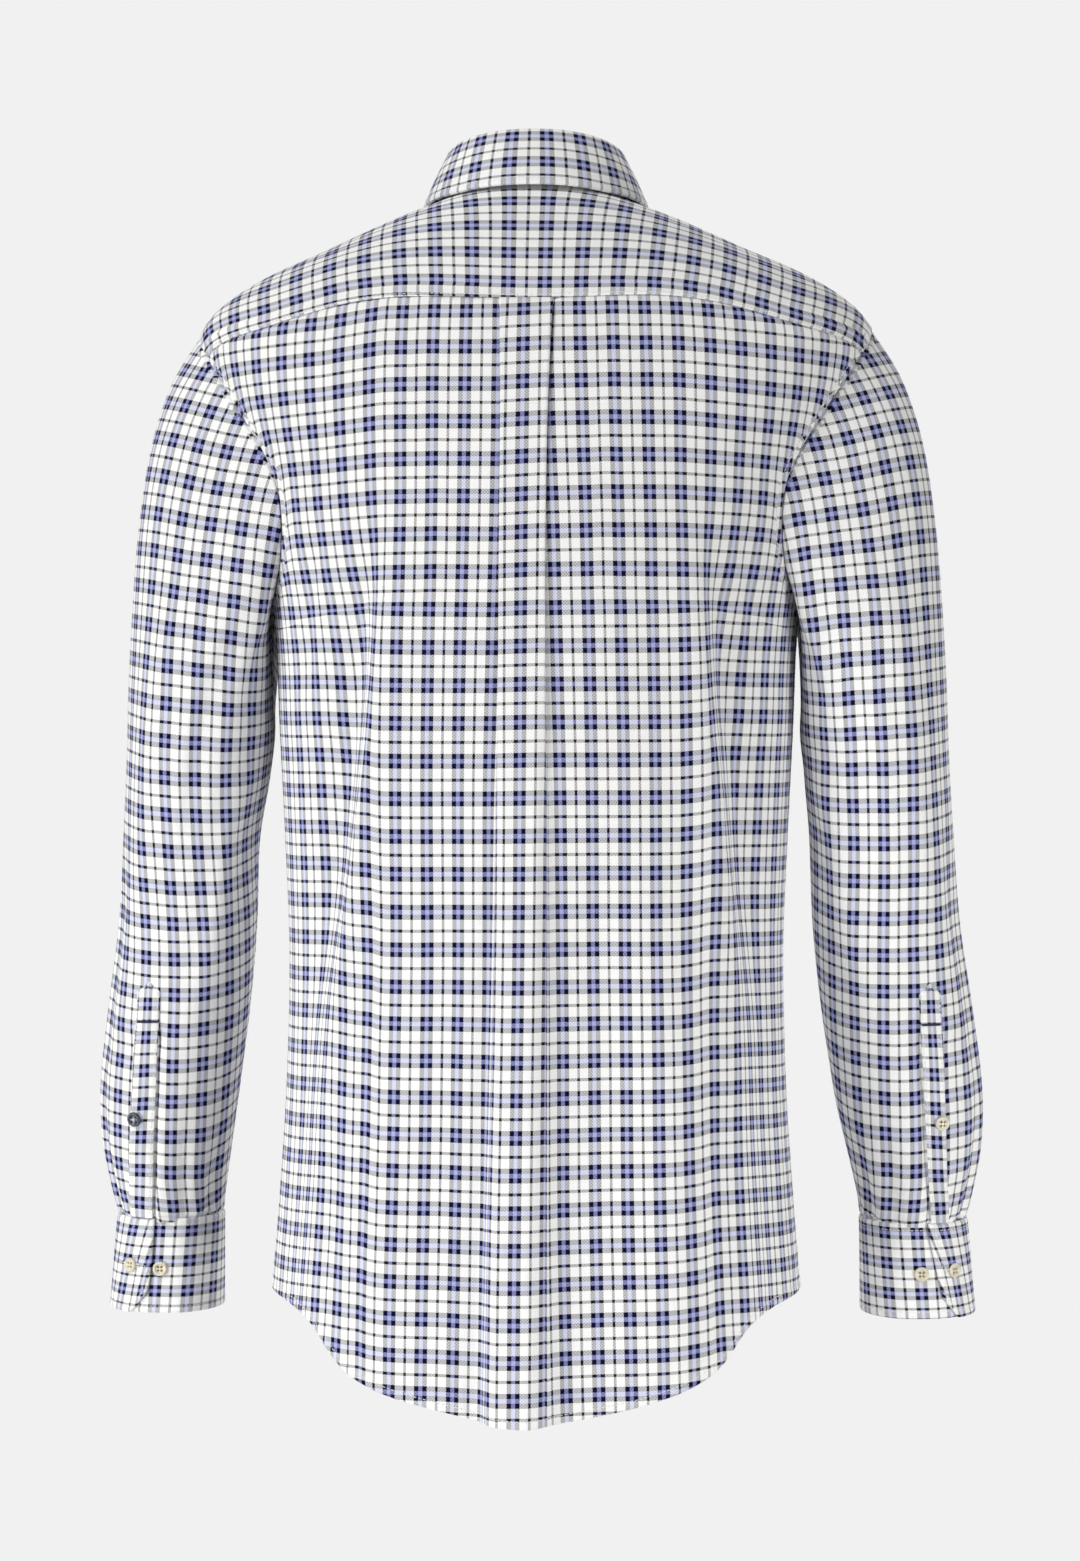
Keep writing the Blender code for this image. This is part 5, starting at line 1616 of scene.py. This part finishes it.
    def build_front(self, side: Side) -> ClothGrid:
        """Builds a front's cloth, from its side seam to the placket or to just under it.

        Args:
            side: whose front.

        Returns:
            The cloth.
        """
        edge_x = self.placket_half if side is Side.LEFT else -self.under_edge
        turns = np.concatenate([np.linspace(-180.0, self.yoke_turns[0] - 4.5, 44),
                                self.yoke_turns[0] - np.arange(6)[::-1] * 0.7])
        edge = self.form.side_line(turns, self.coarse)
        rise = np.linspace(0, 1, 27)[:, None]
        shoulder = edge[-1] * (1 - rise) + np.array([self.neck_front, 0.0]) * rise
        end = float(180.0 - self.form.theta_of(np.array(edge_x), np.array(0.0)))
        neck_theta = np.linspace(self.neck_front, end, 20)
        neck = np.stack([neck_theta, np.zeros_like(neck_theta)], axis=-1)
        top = np.concatenate([shoulder[:-1], neck])
        count = len(top)
        centre_levels = np.interp(np.linspace(0, 1, len(edge)), [0, 1],
                                  [float(self.form.hem_level(np.array(180.0))), 0.0])
        centre_theta = 180.0 - self.form.theta_of(edge_x, centre_levels)
        centre = np.stack([centre_theta, centre_levels], axis=-1)
        bottom_theta = np.linspace(90.0, centre[0, 0], count)
        bottom_level = self.form.hem_level(np.minimum(bottom_theta, 180.0))
        bottom = np.stack([bottom_theta, bottom_level], axis=-1)
        places = self.between(bottom, top, edge, centre)
        theta, level = places[..., 0] * side.value, places[..., 1]
        plain = self.form.plain(theta, level)
        points, normals = self.form.shaped(theta, level)
        flat = relax_flat(plain, arc_guess(plain, count - 1, 1.0))
        row = len(edge) // 2
        flat = add_extra_cloth(flat, plain, points, row, count - 1)
        across = points[..., 0] * side.value
        under = smooth_step(across, *self.under_bend) * (side is Side.RIGHT)
        grid = ClothGrid(points, normals, flat)
        grid.raise_by(-under * self.under_drop)
        grid.square_up(tuple(points[10, -2]), tuple(points[row, -2]))
        grid.anchor((self.front_stripe * side.value, float(points[row, -20, 1]), self.front_row))
        grid.sew(HEMMED, Edge.FIRST_ROW)
        grid.sew(TUCKED, Edge.FIRST_COLUMN)
        grid.lap_under(Edge.FIRST_COLUMN, reach=2.0 * MM)
        return grid

    def between(self, bottom: Array, top: Array, left: Array, right: Array) -> Array:
        """A front's places between four edge lines of theta and level.

        Args:
            bottom: along the hem.
            top: along the yoke's front seam and the neck.
            left: up the side seam and the armhole.
            right: up the centre front.

        Returns:
            The places, rows by columns.
        """
        s = np.linspace(0, 1, len(bottom))[None, :, None]
        rows = left[:, None] * (1 - s) + right[:, None] * s
        height = left[:, 1]
        near_hem = 1 - smooth_step(height, height[0], height[0] + self.form.hem_reach)
        near_top = smooth_step(height, height[-1] - self.form.top_reach, height[-1])
        places = (rows + near_hem[:, None, None] * (bottom[None] - rows[:1])
                  + near_top[:, None, None] * (top[None] - rows[-1:]))
        reach = s[..., 0] / self.form.dip_reach
        beside = np.exp(-((height - ARMHOLE[0].level) / self.form.dip_spread) ** 2)[:, None]
        places[..., 1] -= self.form.dip * beside * reach * np.exp(1 - reach)
        return places

    def build_placket(self) -> ClothGrid:
        """Builds the folded strip that carries the buttonholes.

        Returns:
            The cloth.
        """
        low = float(self.form.hem_level(np.array(180.0)))
        levels = low * (1 - spaced(-low, 4.0 * MM, 7, 4))
        half = self.placket_half
        shares = spaced(2 * half, 2.2 * MM, 7, 7, 0.9 * MM)
        across = half - self.gap - shares * (2 * half - self.gap)
        theta = 180.0 - self.form.theta_of(across[None, :], levels[:, None])
        level = np.broadcast_to(levels[:, None], theta.shape)
        points, normals = self.form.shaped(theta, level)
        points[-1] += unit(points[-2] - points[-1]) * 2.0 * MM
        grid = ClothGrid(points, normals, arc_guess(points, theta.shape[1] // 2, 1.0))
        grid.anchor((0.0, float(points[60, theta.shape[1] // 2, 1]), self.front_row))
        grid.raise_by(np.full(theta.shape, self.placket_rise))
        grid.sew(TURNED, *COLUMNS)
        return grid

    def build(self, buttons: Buttons) -> None:
        """Builds the body's pieces with their stitching and buttons.

        Args:
            buttons: makes the front buttons.
        """
        cloth, thread = self.finishes.cloth, self.finishes.white_thread
        back, yoke, placket = self.build_back(), self.build_yoke(), self.build_placket()
        fronts = {side: self.build_front(side) for side in Side}

        hem = Stitching("stitch_hem", thread)
        for grid in (back, *fronts.values()):
            hem.follow(grid, HEMMED.band, Edge.FIRST_ROW)
        seams = Stitching("stitch_body_seams", thread)
        for edge in COLUMNS:
            seams.follow(back, FELLED.band, edge)
            seams.follow(yoke, FELLED.band, edge)
        seams.follow(yoke, self.yoke_stitch, Edge.FIRST_ROW)
        strip = Stitching("stitch_placket", thread)
        strip.follow(placket, TURNED.band, *COLUMNS)
        levels = np.linspace(float(self.form.hem_level(np.array(180.0))), 0.0, 400)
        points, normals = self.form.shaped(np.full(400, 180.0), levels)
        lifted = points + normals * (self.placket_rise + self.button_lift)
        for k, height in enumerate(self.front_buttons):
            i = int(np.argmin(np.abs(points[:, 2] - height)))
            buttons.build(f"button_front_{k + 1}", lifted[i], normals[i], self.button_radius, UP)
            add_buttonhole(strip, lifted[i] - normals[i] * 0.4 * MM, normals[i], UP,
                           self.buttonhole)
        hem, seams, strip = hem.build(), seams.build(), strip.build()

        place_cloth("yoke", yoke, self.wall, Cut.CROSSWISE, cloth)
        place_cloth("back", back, self.wall, Cut.LENGTHWISE, cloth)
        for side, grid in fronts.items():
            place_cloth(f"front_{side.label}", grid, self.wall, Cut.LENGTHWISE, cloth)
        place_cloth("front_placket", placket, self.placket_wall, Cut.LENGTHWISE, cloth)


def add_buttonhole(stitching: Stitching, centre: Array, normal: Array, way: Array,
                   length: float) -> None:
    """Adds a worked buttonhole: two close rows of stitches beside its slit.

    Args:
        stitching: takes the stitches.
        centre: the middle of the hole, on the cloth.
        normal: the way out of the cloth.
        way: the way that the slit runs.
        length: of the hole.
    """
    side = unit(np.cross(normal, way))
    way = np.cross(side, normal)
    # Real ones have a stitch each 0.3 mm, too fine to show here.
    places = np.arange(-length / 2, length / 2, 0.55 * MM)[:, None] * way + centre
    normals = np.broadcast_to(normal, places.shape)
    for sign in (1.0, -1.0):
        stitching.add_bars(places + side * 0.15 * MM * sign, places + side * 1.5 * MM * sign,
                           normals, 0.3)


@dataclass
class Sleeve:
    """A sleeve with its placket strip and its buttoned cuff."""
    side: Side
    form: SleeveForm
    finishes: Finishes
    wall: float = 0.9 * MM
    cuff_wall: float = 1.6 * MM
    placket_top: float = 0.696
    placket_tip: float = 0.0125
    placket_lift: float = 1.0 * MM
    slit_depth: float = 2.6 * MM
    slit_half: float = 2.4          # degrees
    button_at: float = 0.846
    button_share: float = 0.22
    bar_at: float = 0.729
    strip_row: float = -0.5135
    cuff_top: float = -0.6548
    cuff_bottom: float = -0.7165
    cuff_top_half: tuple[float, float] = (0.0352, 0.0420)
    cuff_bottom_half: tuple[float, float] = (0.0376, 0.0432)
    cuff_middle_top: tuple[float, float] = (0.2440, -0.0545)
    cuff_middle_bottom: tuple[float, float] = (0.2472, -0.0590)
    cuff_overlap: float = 46.0
    cuff_mitre: float = 13.0 * MM
    cuff_step: float = 3.0 * MM
    cuff_ways: tuple[float, float] = (8.0, 40.0)
    buttonhole: float = 14.0 * MM

    @property
    def anchors(self) -> tuple[tuple, tuple, tuple]:
        """Two points that the grain runs through, low and high, and a blue block's centre."""
        if self.side is Side.LEFT:
            return (0.2366, -0.012, -0.640), (0.2285, 0.045, -0.390), (0.2271, 0.044, -0.4159)
        return (-0.2180, -0.012, -0.640), (-0.2160, 0.045, -0.390), (-0.2170, 0.044, -0.4106)

    def build_sleeve(self) -> ClothGrid:
        """Builds the sleeve's cloth, open along its underarm seam.

        Returns:
            The cloth.
        """
        turn, down = np.meshgrid(np.linspace(-180, 180, 151),
                                 spaced(0.57, 4.6 * MM, 6, 6, 0.8 * MM))
        plain, normals = self.form.plain(turn, down), self.form.normal(turn, down)
        rise = crease_height(SLEEVE_CREASES, turn, down)
        slit = smooth_read(STRIPS[self.side], down)[..., 1]
        beside = (turn - slit - self.slit_half / 2) / self.slit_half
        rise = rise - (self.slit_depth * np.exp(-beside ** 2)
                       * smooth_step(down, self.bar_at - 0.01, self.bar_at + 0.03))
        points = plain + normals * rise[..., None]
        row, column = down.shape[0] * 6 // 10, turn.shape[1] * 3 // 4
        flat = relax_flat(plain, arc_guess(plain, column, -1.0), 900)
        flat = add_extra_cloth(flat, plain, points, row, column)
        grid = ClothGrid(points, normals, flat)
        low, high, block = self.anchors
        grid.square_up(low, high)
        grid.anchor(block)
        ease = smooth_read(SLEEVE_EASE[self.side], plain[..., 2])
        grid.flat[..., 0] += ease[..., 0]
        grid.flat[..., 1] += spread(ease[..., 1:], SLEEVE_EASE_AT, turn)
        grid.sew(TUCKED, Edge.FIRST_ROW)
        grid.sew(GATHERED, Edge.LAST_ROW)
        grid.sew(TUCKED, Edge.LAST_ROW)
        grid.lap_under(Edge.FIRST_ROW)
        grid.lap_under(Edge.LAST_ROW)
        return grid

    def build_strip(self) -> ClothGrid:
        """Builds the pointed strip beside the sleeve's slit.

        Returns:
            The cloth.
        """
        wide = spaced(0.0145, 1.2 * MM, 2, 2, 0.6 * MM)
        tops = self.placket_top - self.placket_tip * (1 - np.abs(2 * wide - 1))
        share = spaced(0.171, 2.4 * MM, 5, 1, 0.8 * MM)[:, None]
        down = tops[None, :] + (0.9985 - tops[None, :]) * share
        low, high = np.moveaxis(smooth_read(STRIPS[self.side], down), -1, 0)
        turn = low + (high - low) * wide
        plain, normals = self.form.plain(turn, down), self.form.normal(turn, down)
        rise = crease_height(SLEEVE_CREASES, turn, down) + self.placket_lift
        points = plain + normals * rise[..., None]
        grid = ClothGrid(points, normals, arc_guess(points, len(wide) // 2, -1.0))
        line = points[:, len(wide) // 2]
        grid.anchor(tuple(float(np.interp(-self.strip_row, -line[:, 2], line[:, k]))
                          for k in range(3)))
        grid.sew(STRIP_EDGE, *COLUMNS, Edge.FIRST_ROW)
        return grid

    def strip_turn(self, down: float, share: float) -> Array:
        """The turn of a place on the strip, at this way down and share across."""
        low, high = smooth_read(STRIPS[self.side], down)
        return np.array(low + (high - low) * share)

    def cuff_point(self, turn: Array, share: Array) -> tuple[Array, Array]:
        """The cuff's outside and the way out of it.

        Args:
            turn: degrees round the wrist.
            share: 0 at its top edge and 1 at its bottom.

        Returns:
            The points and the normals.
        """
        turn, share = np.broadcast_arrays(np.asarray(turn, float), np.asarray(share, float))
        c, s = np.cos(np.radians(turn)), np.sin(np.radians(turn))
        top, bottom = self.cuff_top_half, self.cuff_bottom_half
        half_x = top[0] + (bottom[0] - top[0]) * share
        half_y = top[1] + (bottom[1] - top[1]) * share
        start, end = self.cuff_middle_top, self.cuff_middle_bottom
        x = start[0] + (end[0] - start[0]) * share + half_x * c
        y = start[1] + (end[1] - start[1]) * share + half_y * s
        z = self.cuff_top - 0.35 * MM + (self.cuff_bottom - self.cuff_top) * share
        flip = np.array([self.side.value, 1.0, 1.0])
        normal = unit(np.stack([c / half_x, s / half_y, np.zeros_like(c)], axis=-1))
        return np.stack([x, y, z], axis=-1) * flip, normal * flip

    def cuff_drop(self, way: Array) -> Array:
        """How far the cuff lies below its top layer, where one end passes under the other."""
        low, high = (CUFF_ENDS[self.side].turn + past for past in self.cuff_ways)
        return self.cuff_step * (1 - smooth_step(way, low, high))

    def build_cuff(self) -> ClothGrid:
        """Builds the cuff's cloth, from its under end round to its mitred top end.

        Returns:
            The cloth.
        """
        tip = CUFF_ENDS[self.side]
        start, end = tip.turn - self.cuff_overlap, tip.turn + 360.0
        share = spaced(0.067, 2.6 * MM, 7, 8, 0.9 * MM)[:, None]
        ends = end - tip.slant * share ** tip.power
        way = start + (ends - start) * spaced(0.275, 2.6 * MM, 3, 8, 0.9 * MM)[None, :]
        mitre = math.degrees(self.cuff_mitre / self.cuff_bottom_half[1])
        cut = np.clip((way - (end - tip.slant - mitre)) / mitre, 0.0, 1.0)
        shares = share * (1 - cut * self.cuff_mitre / (self.cuff_top - self.cuff_bottom))
        points, normals = self.cuff_point(way, shares)
        flat = arc_guess(points, 0, -1.0)
        stripe, row = (87.5, -0.6635) if self.side is Side.LEFT else (90.5, -0.6616)
        grid = ClothGrid(points, normals, flat)
        at = self.cuff_point(np.array(stripe), np.array(0.05))[0]
        grid.anchor((float(at[0]), float(at[1]), row))
        grid.raise_by(-self.cuff_drop(way))
        grid.sew(TURNED, Edge.FIRST_ROW, Edge.LAST_ROW, Edge.LAST_COLUMN)
        return grid

    def build(self, buttons: Buttons) -> None:
        """Builds the sleeve's pieces with their stitching and buttons.

        Args:
            buttons: makes this sleeve's buttons.
        """
        label, cloth = self.side.label, self.finishes.cloth
        sleeve, strip, cuff = self.build_sleeve(), self.build_strip(), self.build_cuff()
        stitches = Stitching(f"stitch_sleeve_{label}", self.finishes.white_thread)
        stitches.follow(cuff, TURNED.band, Edge.FIRST_ROW, Edge.LAST_ROW, Edge.LAST_COLUMN)
        stitches.follow(strip, STRIP_EDGE.band, *COLUMNS, Edge.FIRST_ROW)
        turn, down = self.strip_turn(self.button_at, self.button_share), np.array(self.button_at)
        point, normal = self.form.plain(turn, down), self.form.normal(turn, down)
        lift = crease_height(SLEEVE_CREASES, turn, down) + self.placket_lift + 0.35 * MM
        buttons.build(f"button_sleeve_placket_{label}", point + normal * lift, normal,
                      SMALL_BUTTON, UP, navy=self.side is Side.LEFT)
        for k, way in enumerate(CUFF_ENDS[self.side].buttons):
            point, out = self.cuff_point(np.array(way), np.array(0.5 + 0.03 * k))
            drop = self.cuff_drop(np.array(way)) if k else 0.0
            buttons.build(f"button_cuff_{label}_{k + 1}", point + out * (0.3 * MM - drop), out,
                          SMALL_BUTTON, UP)
            if not k:
                add_buttonhole(stitches, point, out, np.cross(UP, out), self.buttonhole)
        bars = Stitching(f"bar_tack_{label}", self.finishes.navy_thread, radius=0.3 * MM)
        self.add_bar_tack(bars)
        threads = [stitches.build(), bars.build()]
        for node, grid, wall, cut, rests_on, with_pieces in (
                ("sleeve", sleeve, self.wall, Cut.LENGTHWISE, ["cloth_yoke", "cloth_back"],
                 threads),
                ("sleeve_placket", strip, self.wall, Cut.LENGTHWISE, [f"cloth_sleeve_{label}"], []),
                ("cuff", cuff, self.cuff_wall, Cut.CROSSWISE, [f"cloth_sleeve_{label}"], [])):
            place_cloth(f"{node}_{label}", grid, wall, cut, cloth)

    def add_bar_tack(self, bars: Stitching) -> None:
        """Adds the dense bar of stitches across the placket strip, above its slit.

        Args:
            bars: takes the stitches.
        """
        low, high = smooth_read(STRIPS[self.side], self.bar_at)
        turns = np.linspace(low + 2.0, high - 1.0, 22)
        down = np.full(len(turns), self.bar_at)
        points, normals = self.form.plain(turns, down), self.form.normal(turns, down)
        rise = crease_height(SLEEVE_CREASES, turns, down) + self.placket_lift
        points = points + normals * rise[:, None]
        bars.add_bars(points + [0, 0, 1.1 * MM], points - [0, 0, 1.1 * MM], normals, 0.4)


@dataclass
class Collar:
    """The collar: a stand round the neck, and a fall that rolls over it to its points."""
    form: BodyForm
    finishes: Finishes
    stand_back: float = 0.030
    stand_front: float = 0.026
    stand_wall: float = 1.6 * MM
    stand_radius: float = 0.058
    lean: float = 15.0
    taper: float = 3.0 * MM
    lap: float = 0.0170
    sink_ways: tuple[float, float] = (3.0, 30.0)
    end_cut: float = 0.25
    seam_rise: float = 0.5 * MM
    seam_inset: float = 0.3 * MM
    leaf_back: float = 0.0370
    leaf_point: float = 0.0760
    rise: float = 2.5 * MM
    roll: float = 3.6 * MM
    fall_wall: float = 1.6 * MM
    front_theta: float = 174.0
    lengthens: float = 85.0
    point_power: float = 1.4
    spread: float = 26.0
    leaf_lean: float = 12.0
    clear: float = 2.0 * MM
    bow: float = 0.8 * MM
    gap: float = 0.35 * MM
    seam_stitch: float = 1.8 * MM
    button_lift: float = 0.9 * MM
    column_x: float = -0.0105       # a blue block's X and Z
    row_z: float = 0.0117

    @property
    def up(self) -> Array:
        """The way up the stand, which leans forward."""
        lean = math.radians(self.lean)
        return np.array([0.0, -math.sin(lean), math.cos(lean)])

    def stand_point(self, theta: Array, share: Array,
                    sunk: Array | float = 0.0) -> tuple[Array, Array]:
        """The stand's outside and the way straight out of it.

        Args:
            theta: degrees round from the centre back.
            share: 0 at the neck seam and 1 at its top edge.
            sunk: how far in it lies, where one end passes under the other.

        Returns:
            The points and the ways out.
        """
        base = self.form.plain(theta, np.zeros_like(np.asarray(theta, float)))
        half, _, back, front, _ = smooth_read(GIRTHS, 0.0)
        depth = np.where(base[..., 1] > 0, back, front)
        out = unit(np.stack([base[..., 0] / half ** 2, base[..., 1] / depth ** 2,
                             np.zeros_like(depth)], axis=-1))
        tall = self.stand_front + (self.stand_back - self.stand_front) * (
            (1 + np.cos(np.radians(theta))) / 2)
        inward = (self.taper * share + self.seam_inset + sunk)[..., None]
        return base + self.up * (tall * share + self.seam_rise)[..., None] - out * inward, out

    def build_stand(self) -> ClothGrid:
        """Builds the stand's cloth, whose ends cross under the collar button.

        Returns:
            The cloth.
        """
        lap = math.degrees(self.lap / self.stand_radius)
        theta, share = np.meshgrid(np.linspace(-180 - lap, 180 + lap, 197),
                                   spaced(0.029, 2.4 * MM, 4, 0))
        low, high = self.sink_ways
        sunk = ((self.stand_wall + 0.8 * MM)
                * (1 - smooth_step(theta, lap - 180 + low, lap - 180 + high)))
        ends = smooth_step(np.abs(theta), 180.0 - lap * 0.1, 180.0 + lap * 1.02)
        points, out = self.stand_point(theta, share * (1 - self.end_cut * ends), sunk)
        flat = arc_guess(points, theta.shape[1] // 2, 1.0)
        flat[..., 1] -= flat[:1, :, 1]
        grid = ClothGrid(points, out, flat)
        grid.anchor((self.column_x, 0.0650, self.row_z))
        grid.sew(TURNED, *COLUMNS)
        return grid

    def body_top(self, points: Array) -> Array:
        """The height of the body form above or below each point, round the neck.

        Args:
            points: the points.

        Returns:
            The heights.
        """
        levels = np.linspace(0.0, -0.110, 60)
        half, side_z, back, front, front_z = np.moveaxis(smooth_read(GIRTHS, levels), -1, 0)
        power = self.form.squareness
        heights = []
        for x, y, _ in points:
            reach = math.hypot(x, y)
            depth, end_z = (back, levels) if y > 0 else (front, front_z)
            radius = ((abs(x) / reach / half) ** power
                      + (abs(y) / reach / depth) ** power) ** (-1.0 / power)
            share = (radius * abs(x) / reach / half) ** power
            heights.append(np.interp(reach, radius, end_z + (side_z - end_z) * share))
        return np.array(heights)

    def leaf_end(self, start: Array, out: Array, length: Array, angle: Array) -> Array:
        """Where a leaf of this length ends when it leans out from straight down by the angle."""
        return (start - self.up * (length * np.cos(angle))[:, None]
                + out * (length * np.sin(angle))[:, None])

    def leaf_angles(self, start: Array, out: Array, length: Array) -> Array:
        """How far the leaf leans out all round, so that its edge just clears the shoulders.

        Args:
            start: the top of the leaf.
            out: the ways straight out.
            length: the leaf's length.

        Returns:
            The angles in radians.
        """
        angles = np.full(len(start), math.radians(self.leaf_lean))
        for _ in range(60):
            end = self.leaf_end(start, out, length, angles)
            low = end[:, 2] < self.body_top(end) + self.clear
            if not low.any():
                break
            angles = np.where(low, angles + math.radians(1.0), angles)
        for _ in range(20):
            wide = np.concatenate([angles[:1], angles, angles[-1:]])
            angles = np.maximum(angles, (wide[:-2] + wide[1:-1] + wide[2:]) / 3)
        return angles

    def build_fall(self) -> ClothGrid:
        """Builds the fall's cloth: up from the stand, over in a roll, and down to its edge.

        Returns:
            The cloth.
        """
        limit = self.front_theta
        theta = -limit + 2 * limit * spaced(0.42, 2.4 * MM, 6, 6, 0.9 * MM)
        front = smooth_step(np.abs(theta), self.lengthens, limit)
        length = self.leaf_back + (self.leaf_point - self.leaf_back) * front ** self.point_power
        whole = np.ones_like(theta)
        foot, out = self.stand_point(theta, whole)
        crest = foot + self.up * (self.gap + self.rise)
        rows = [foot + self.up * self.gap, crest]
        for angle in np.radians(np.arange(18, 180, 18)):
            turned = self.up * math.sin(angle) + out * (1 - math.cos(angle))
            rows.append(crest + turned * self.roll / 2)
        start = crest + out * self.roll
        swept, swept_out = self.stand_point(theta - np.sign(theta) * self.spread * front, whole)
        top = swept + self.up * (self.gap + self.rise) + swept_out * self.roll
        end = self.leaf_end(top, swept_out, length, self.leaf_angles(top, swept_out, length))
        for share in spaced(0.037, 1.9 * MM, 0, 8, 0.9 * MM):
            bow = self.bow * math.sin(math.pi * share)
            rows.append(start + (end - start) * share + out * bow)
        points = np.array(rows)
        normals = unit(np.cross(np.gradient(points, axis=1), np.gradient(points, axis=0)))
        if (normals[-2] * out).sum() < 0:
            normals = -normals
        middle = len(theta) // 2
        flat = arc_guess(points, middle, -1.0)
        flat[..., 0] = flat[len(points) // 2, :, 0]
        flat[..., 1] -= flat[0, :, 1]
        grid = ClothGrid(points + normals * self.fall_wall / 2, normals, flat)
        row = int(np.argmin(np.abs(points[12:, middle, 2] - self.row_z))) + 12
        grid.anchor((self.column_x, float(points[row, middle, 1]), self.row_z))
        grid.sew(TURNED, Edge.LAST_ROW, *COLUMNS)
        return grid

    def build(self, buttons: Buttons) -> None:
        """Builds the collar's pieces with their stitching and button.

        Args:
            buttons: makes the collar's button.
        """
        stand, fall = self.build_stand(), self.build_fall()
        stitches = Stitching("stitch_collar", self.finishes.white_thread)
        stitches.follow(fall, TURNED.band, Edge.LAST_ROW, *COLUMNS)
        stitches.follow(stand, self.seam_stitch, Edge.FIRST_ROW)
        thread, cloth = stitches.build(), self.finishes.cloth
        point, out = self.stand_point(np.array([180.0]), np.array([0.5]))
        buttons.build("button_collar", point[0] + out[0] * self.button_lift, out[0], SMALL_BUTTON,
                      self.up)
        place_cloth("collar_stand", stand, self.stand_wall, Cut.CROSSWISE, cloth)
        place_cloth("collar_fall", fall, self.fall_wall, Cut.CROSSWISE, cloth)


@dataclass
class Studio:
    """The camera, the pale cove and the soft lights."""
    azimuth: float = 182.8
    distance: float = 2.0
    target: tuple[float, float, float] = (-0.0026, 0.0, -0.371)
    half_angle: float = 14.02       # of the view, up and down
    floor: float = -1.45
    cove_sides: int = 64
    ambient: float = 0.28

    def set_camera(self) -> None:
        """Makes the camera behind the shirt, as the photograph has it."""
        angle = math.radians(self.azimuth)
        back = Vector((math.sin(angle), -math.cos(angle), 0.0))
        data = bpy.data.cameras.new("camera")
        data.sensor_width = 36.0
        data.lens = data.sensor_width / 2 / math.tan(math.radians(self.half_angle))
        camera = bpy.data.objects.new("camera", data)
        camera.location = Vector(self.target) + back * self.distance
        camera.rotation_mode = "QUATERNION"
        camera.rotation_quaternion = (-back).to_track_quat("-Z", "Y")
        bpy.context.scene.collection.objects.link(camera)
        bpy.context.scene.camera = camera

    def set_lights(self) -> None:
        """Makes the even air light and the softboxes, the strongest at the picture's upper left."""
        world = bpy.data.worlds.new("studio_air")
        world.use_nodes = True
        air = world.node_tree.nodes["Background"]
        air.inputs["Color"].default_value = (1.0, 1.0, 1.0, 1.0)
        air.inputs["Strength"].default_value = self.ambient
        bpy.context.scene.world = world
        for box in SOFTBOXES:
            light = bpy.data.lights.new(box.name, "AREA")
            light.shape, light.size, light.energy = "DISK", box.size, box.power
            lamp = bpy.data.objects.new(box.name, light)
            lamp.location = box.at
            lamp.rotation_mode = "QUATERNION"
            way = Vector(box.at) - Vector(self.target)
            lamp.rotation_quaternion = way.to_track_quat("Z", "Y")
            bpy.context.scene.collection.objects.link(lamp)

    def build_cove(self) -> None:
        """Makes the floor, which curves up all round into a pale wall and dome."""
        sides = self.cove_sides
        points, faces = [(0.0, 0.0, self.floor)], []
        for out, high in COVE[1:-1]:
            for k in range(sides):
                a = 2 * math.pi * k / sides
                points.append((out * math.cos(a), out * math.sin(a), self.floor + high))
        points.append((0.0, 0.0, self.floor + COVE[-1][1]))
        for k in range(sides):
            n = (k + 1) % sides
            faces.append((0, 1 + k, 1 + n))
            for ring in range(len(COVE) - 3):
                a = 1 + ring * sides
                faces.append((a + k, a + sides + k, a + sides + n, a + n))
            a = 1 + (len(COVE) - 3) * sides
            faces.append((a + k, len(points) - 1, a + n))
        mesh = bpy.data.meshes.new("studio_cove")
        mesh.from_pydata(points, [], faces)
        mesh.shade_smooth()
        mesh.materials.append(PaintedCove().material())
        cove = bpy.data.objects.new("studio_cove", mesh)
        cove.visible_diffuse = False
        cove.visible_glossy = False
        cove.visible_shadow = False
        bpy.context.scene.collection.objects.link(cove)

    def build(self) -> None:
        """Builds the studio."""
        self.set_camera()
        self.set_lights()
        self.build_cove()
        bpy.context.scene.view_settings.view_transform = "Standard"


def main() -> None:
    """Builds the studio and the shirt."""
    logging.basicConfig(level=logging.INFO, format="%(name)s: %(message)s")
    Studio().build()
    LOG.info("studio built")
    finishes, form = Finishes(), BodyForm()
    buttons = Buttons(finishes)
    Body(form, finishes).build(buttons)
    LOG.info("body built")
    for side in Side:
        Sleeve(side, SleeveForm(side, form), finishes).build(buttons)
        LOG.info("%s sleeve built", side.label)
    Collar(form, finishes).build(buttons)
    LOG.info("collar built")
    buttons.finish()


if __name__ == "__main__":
    main()
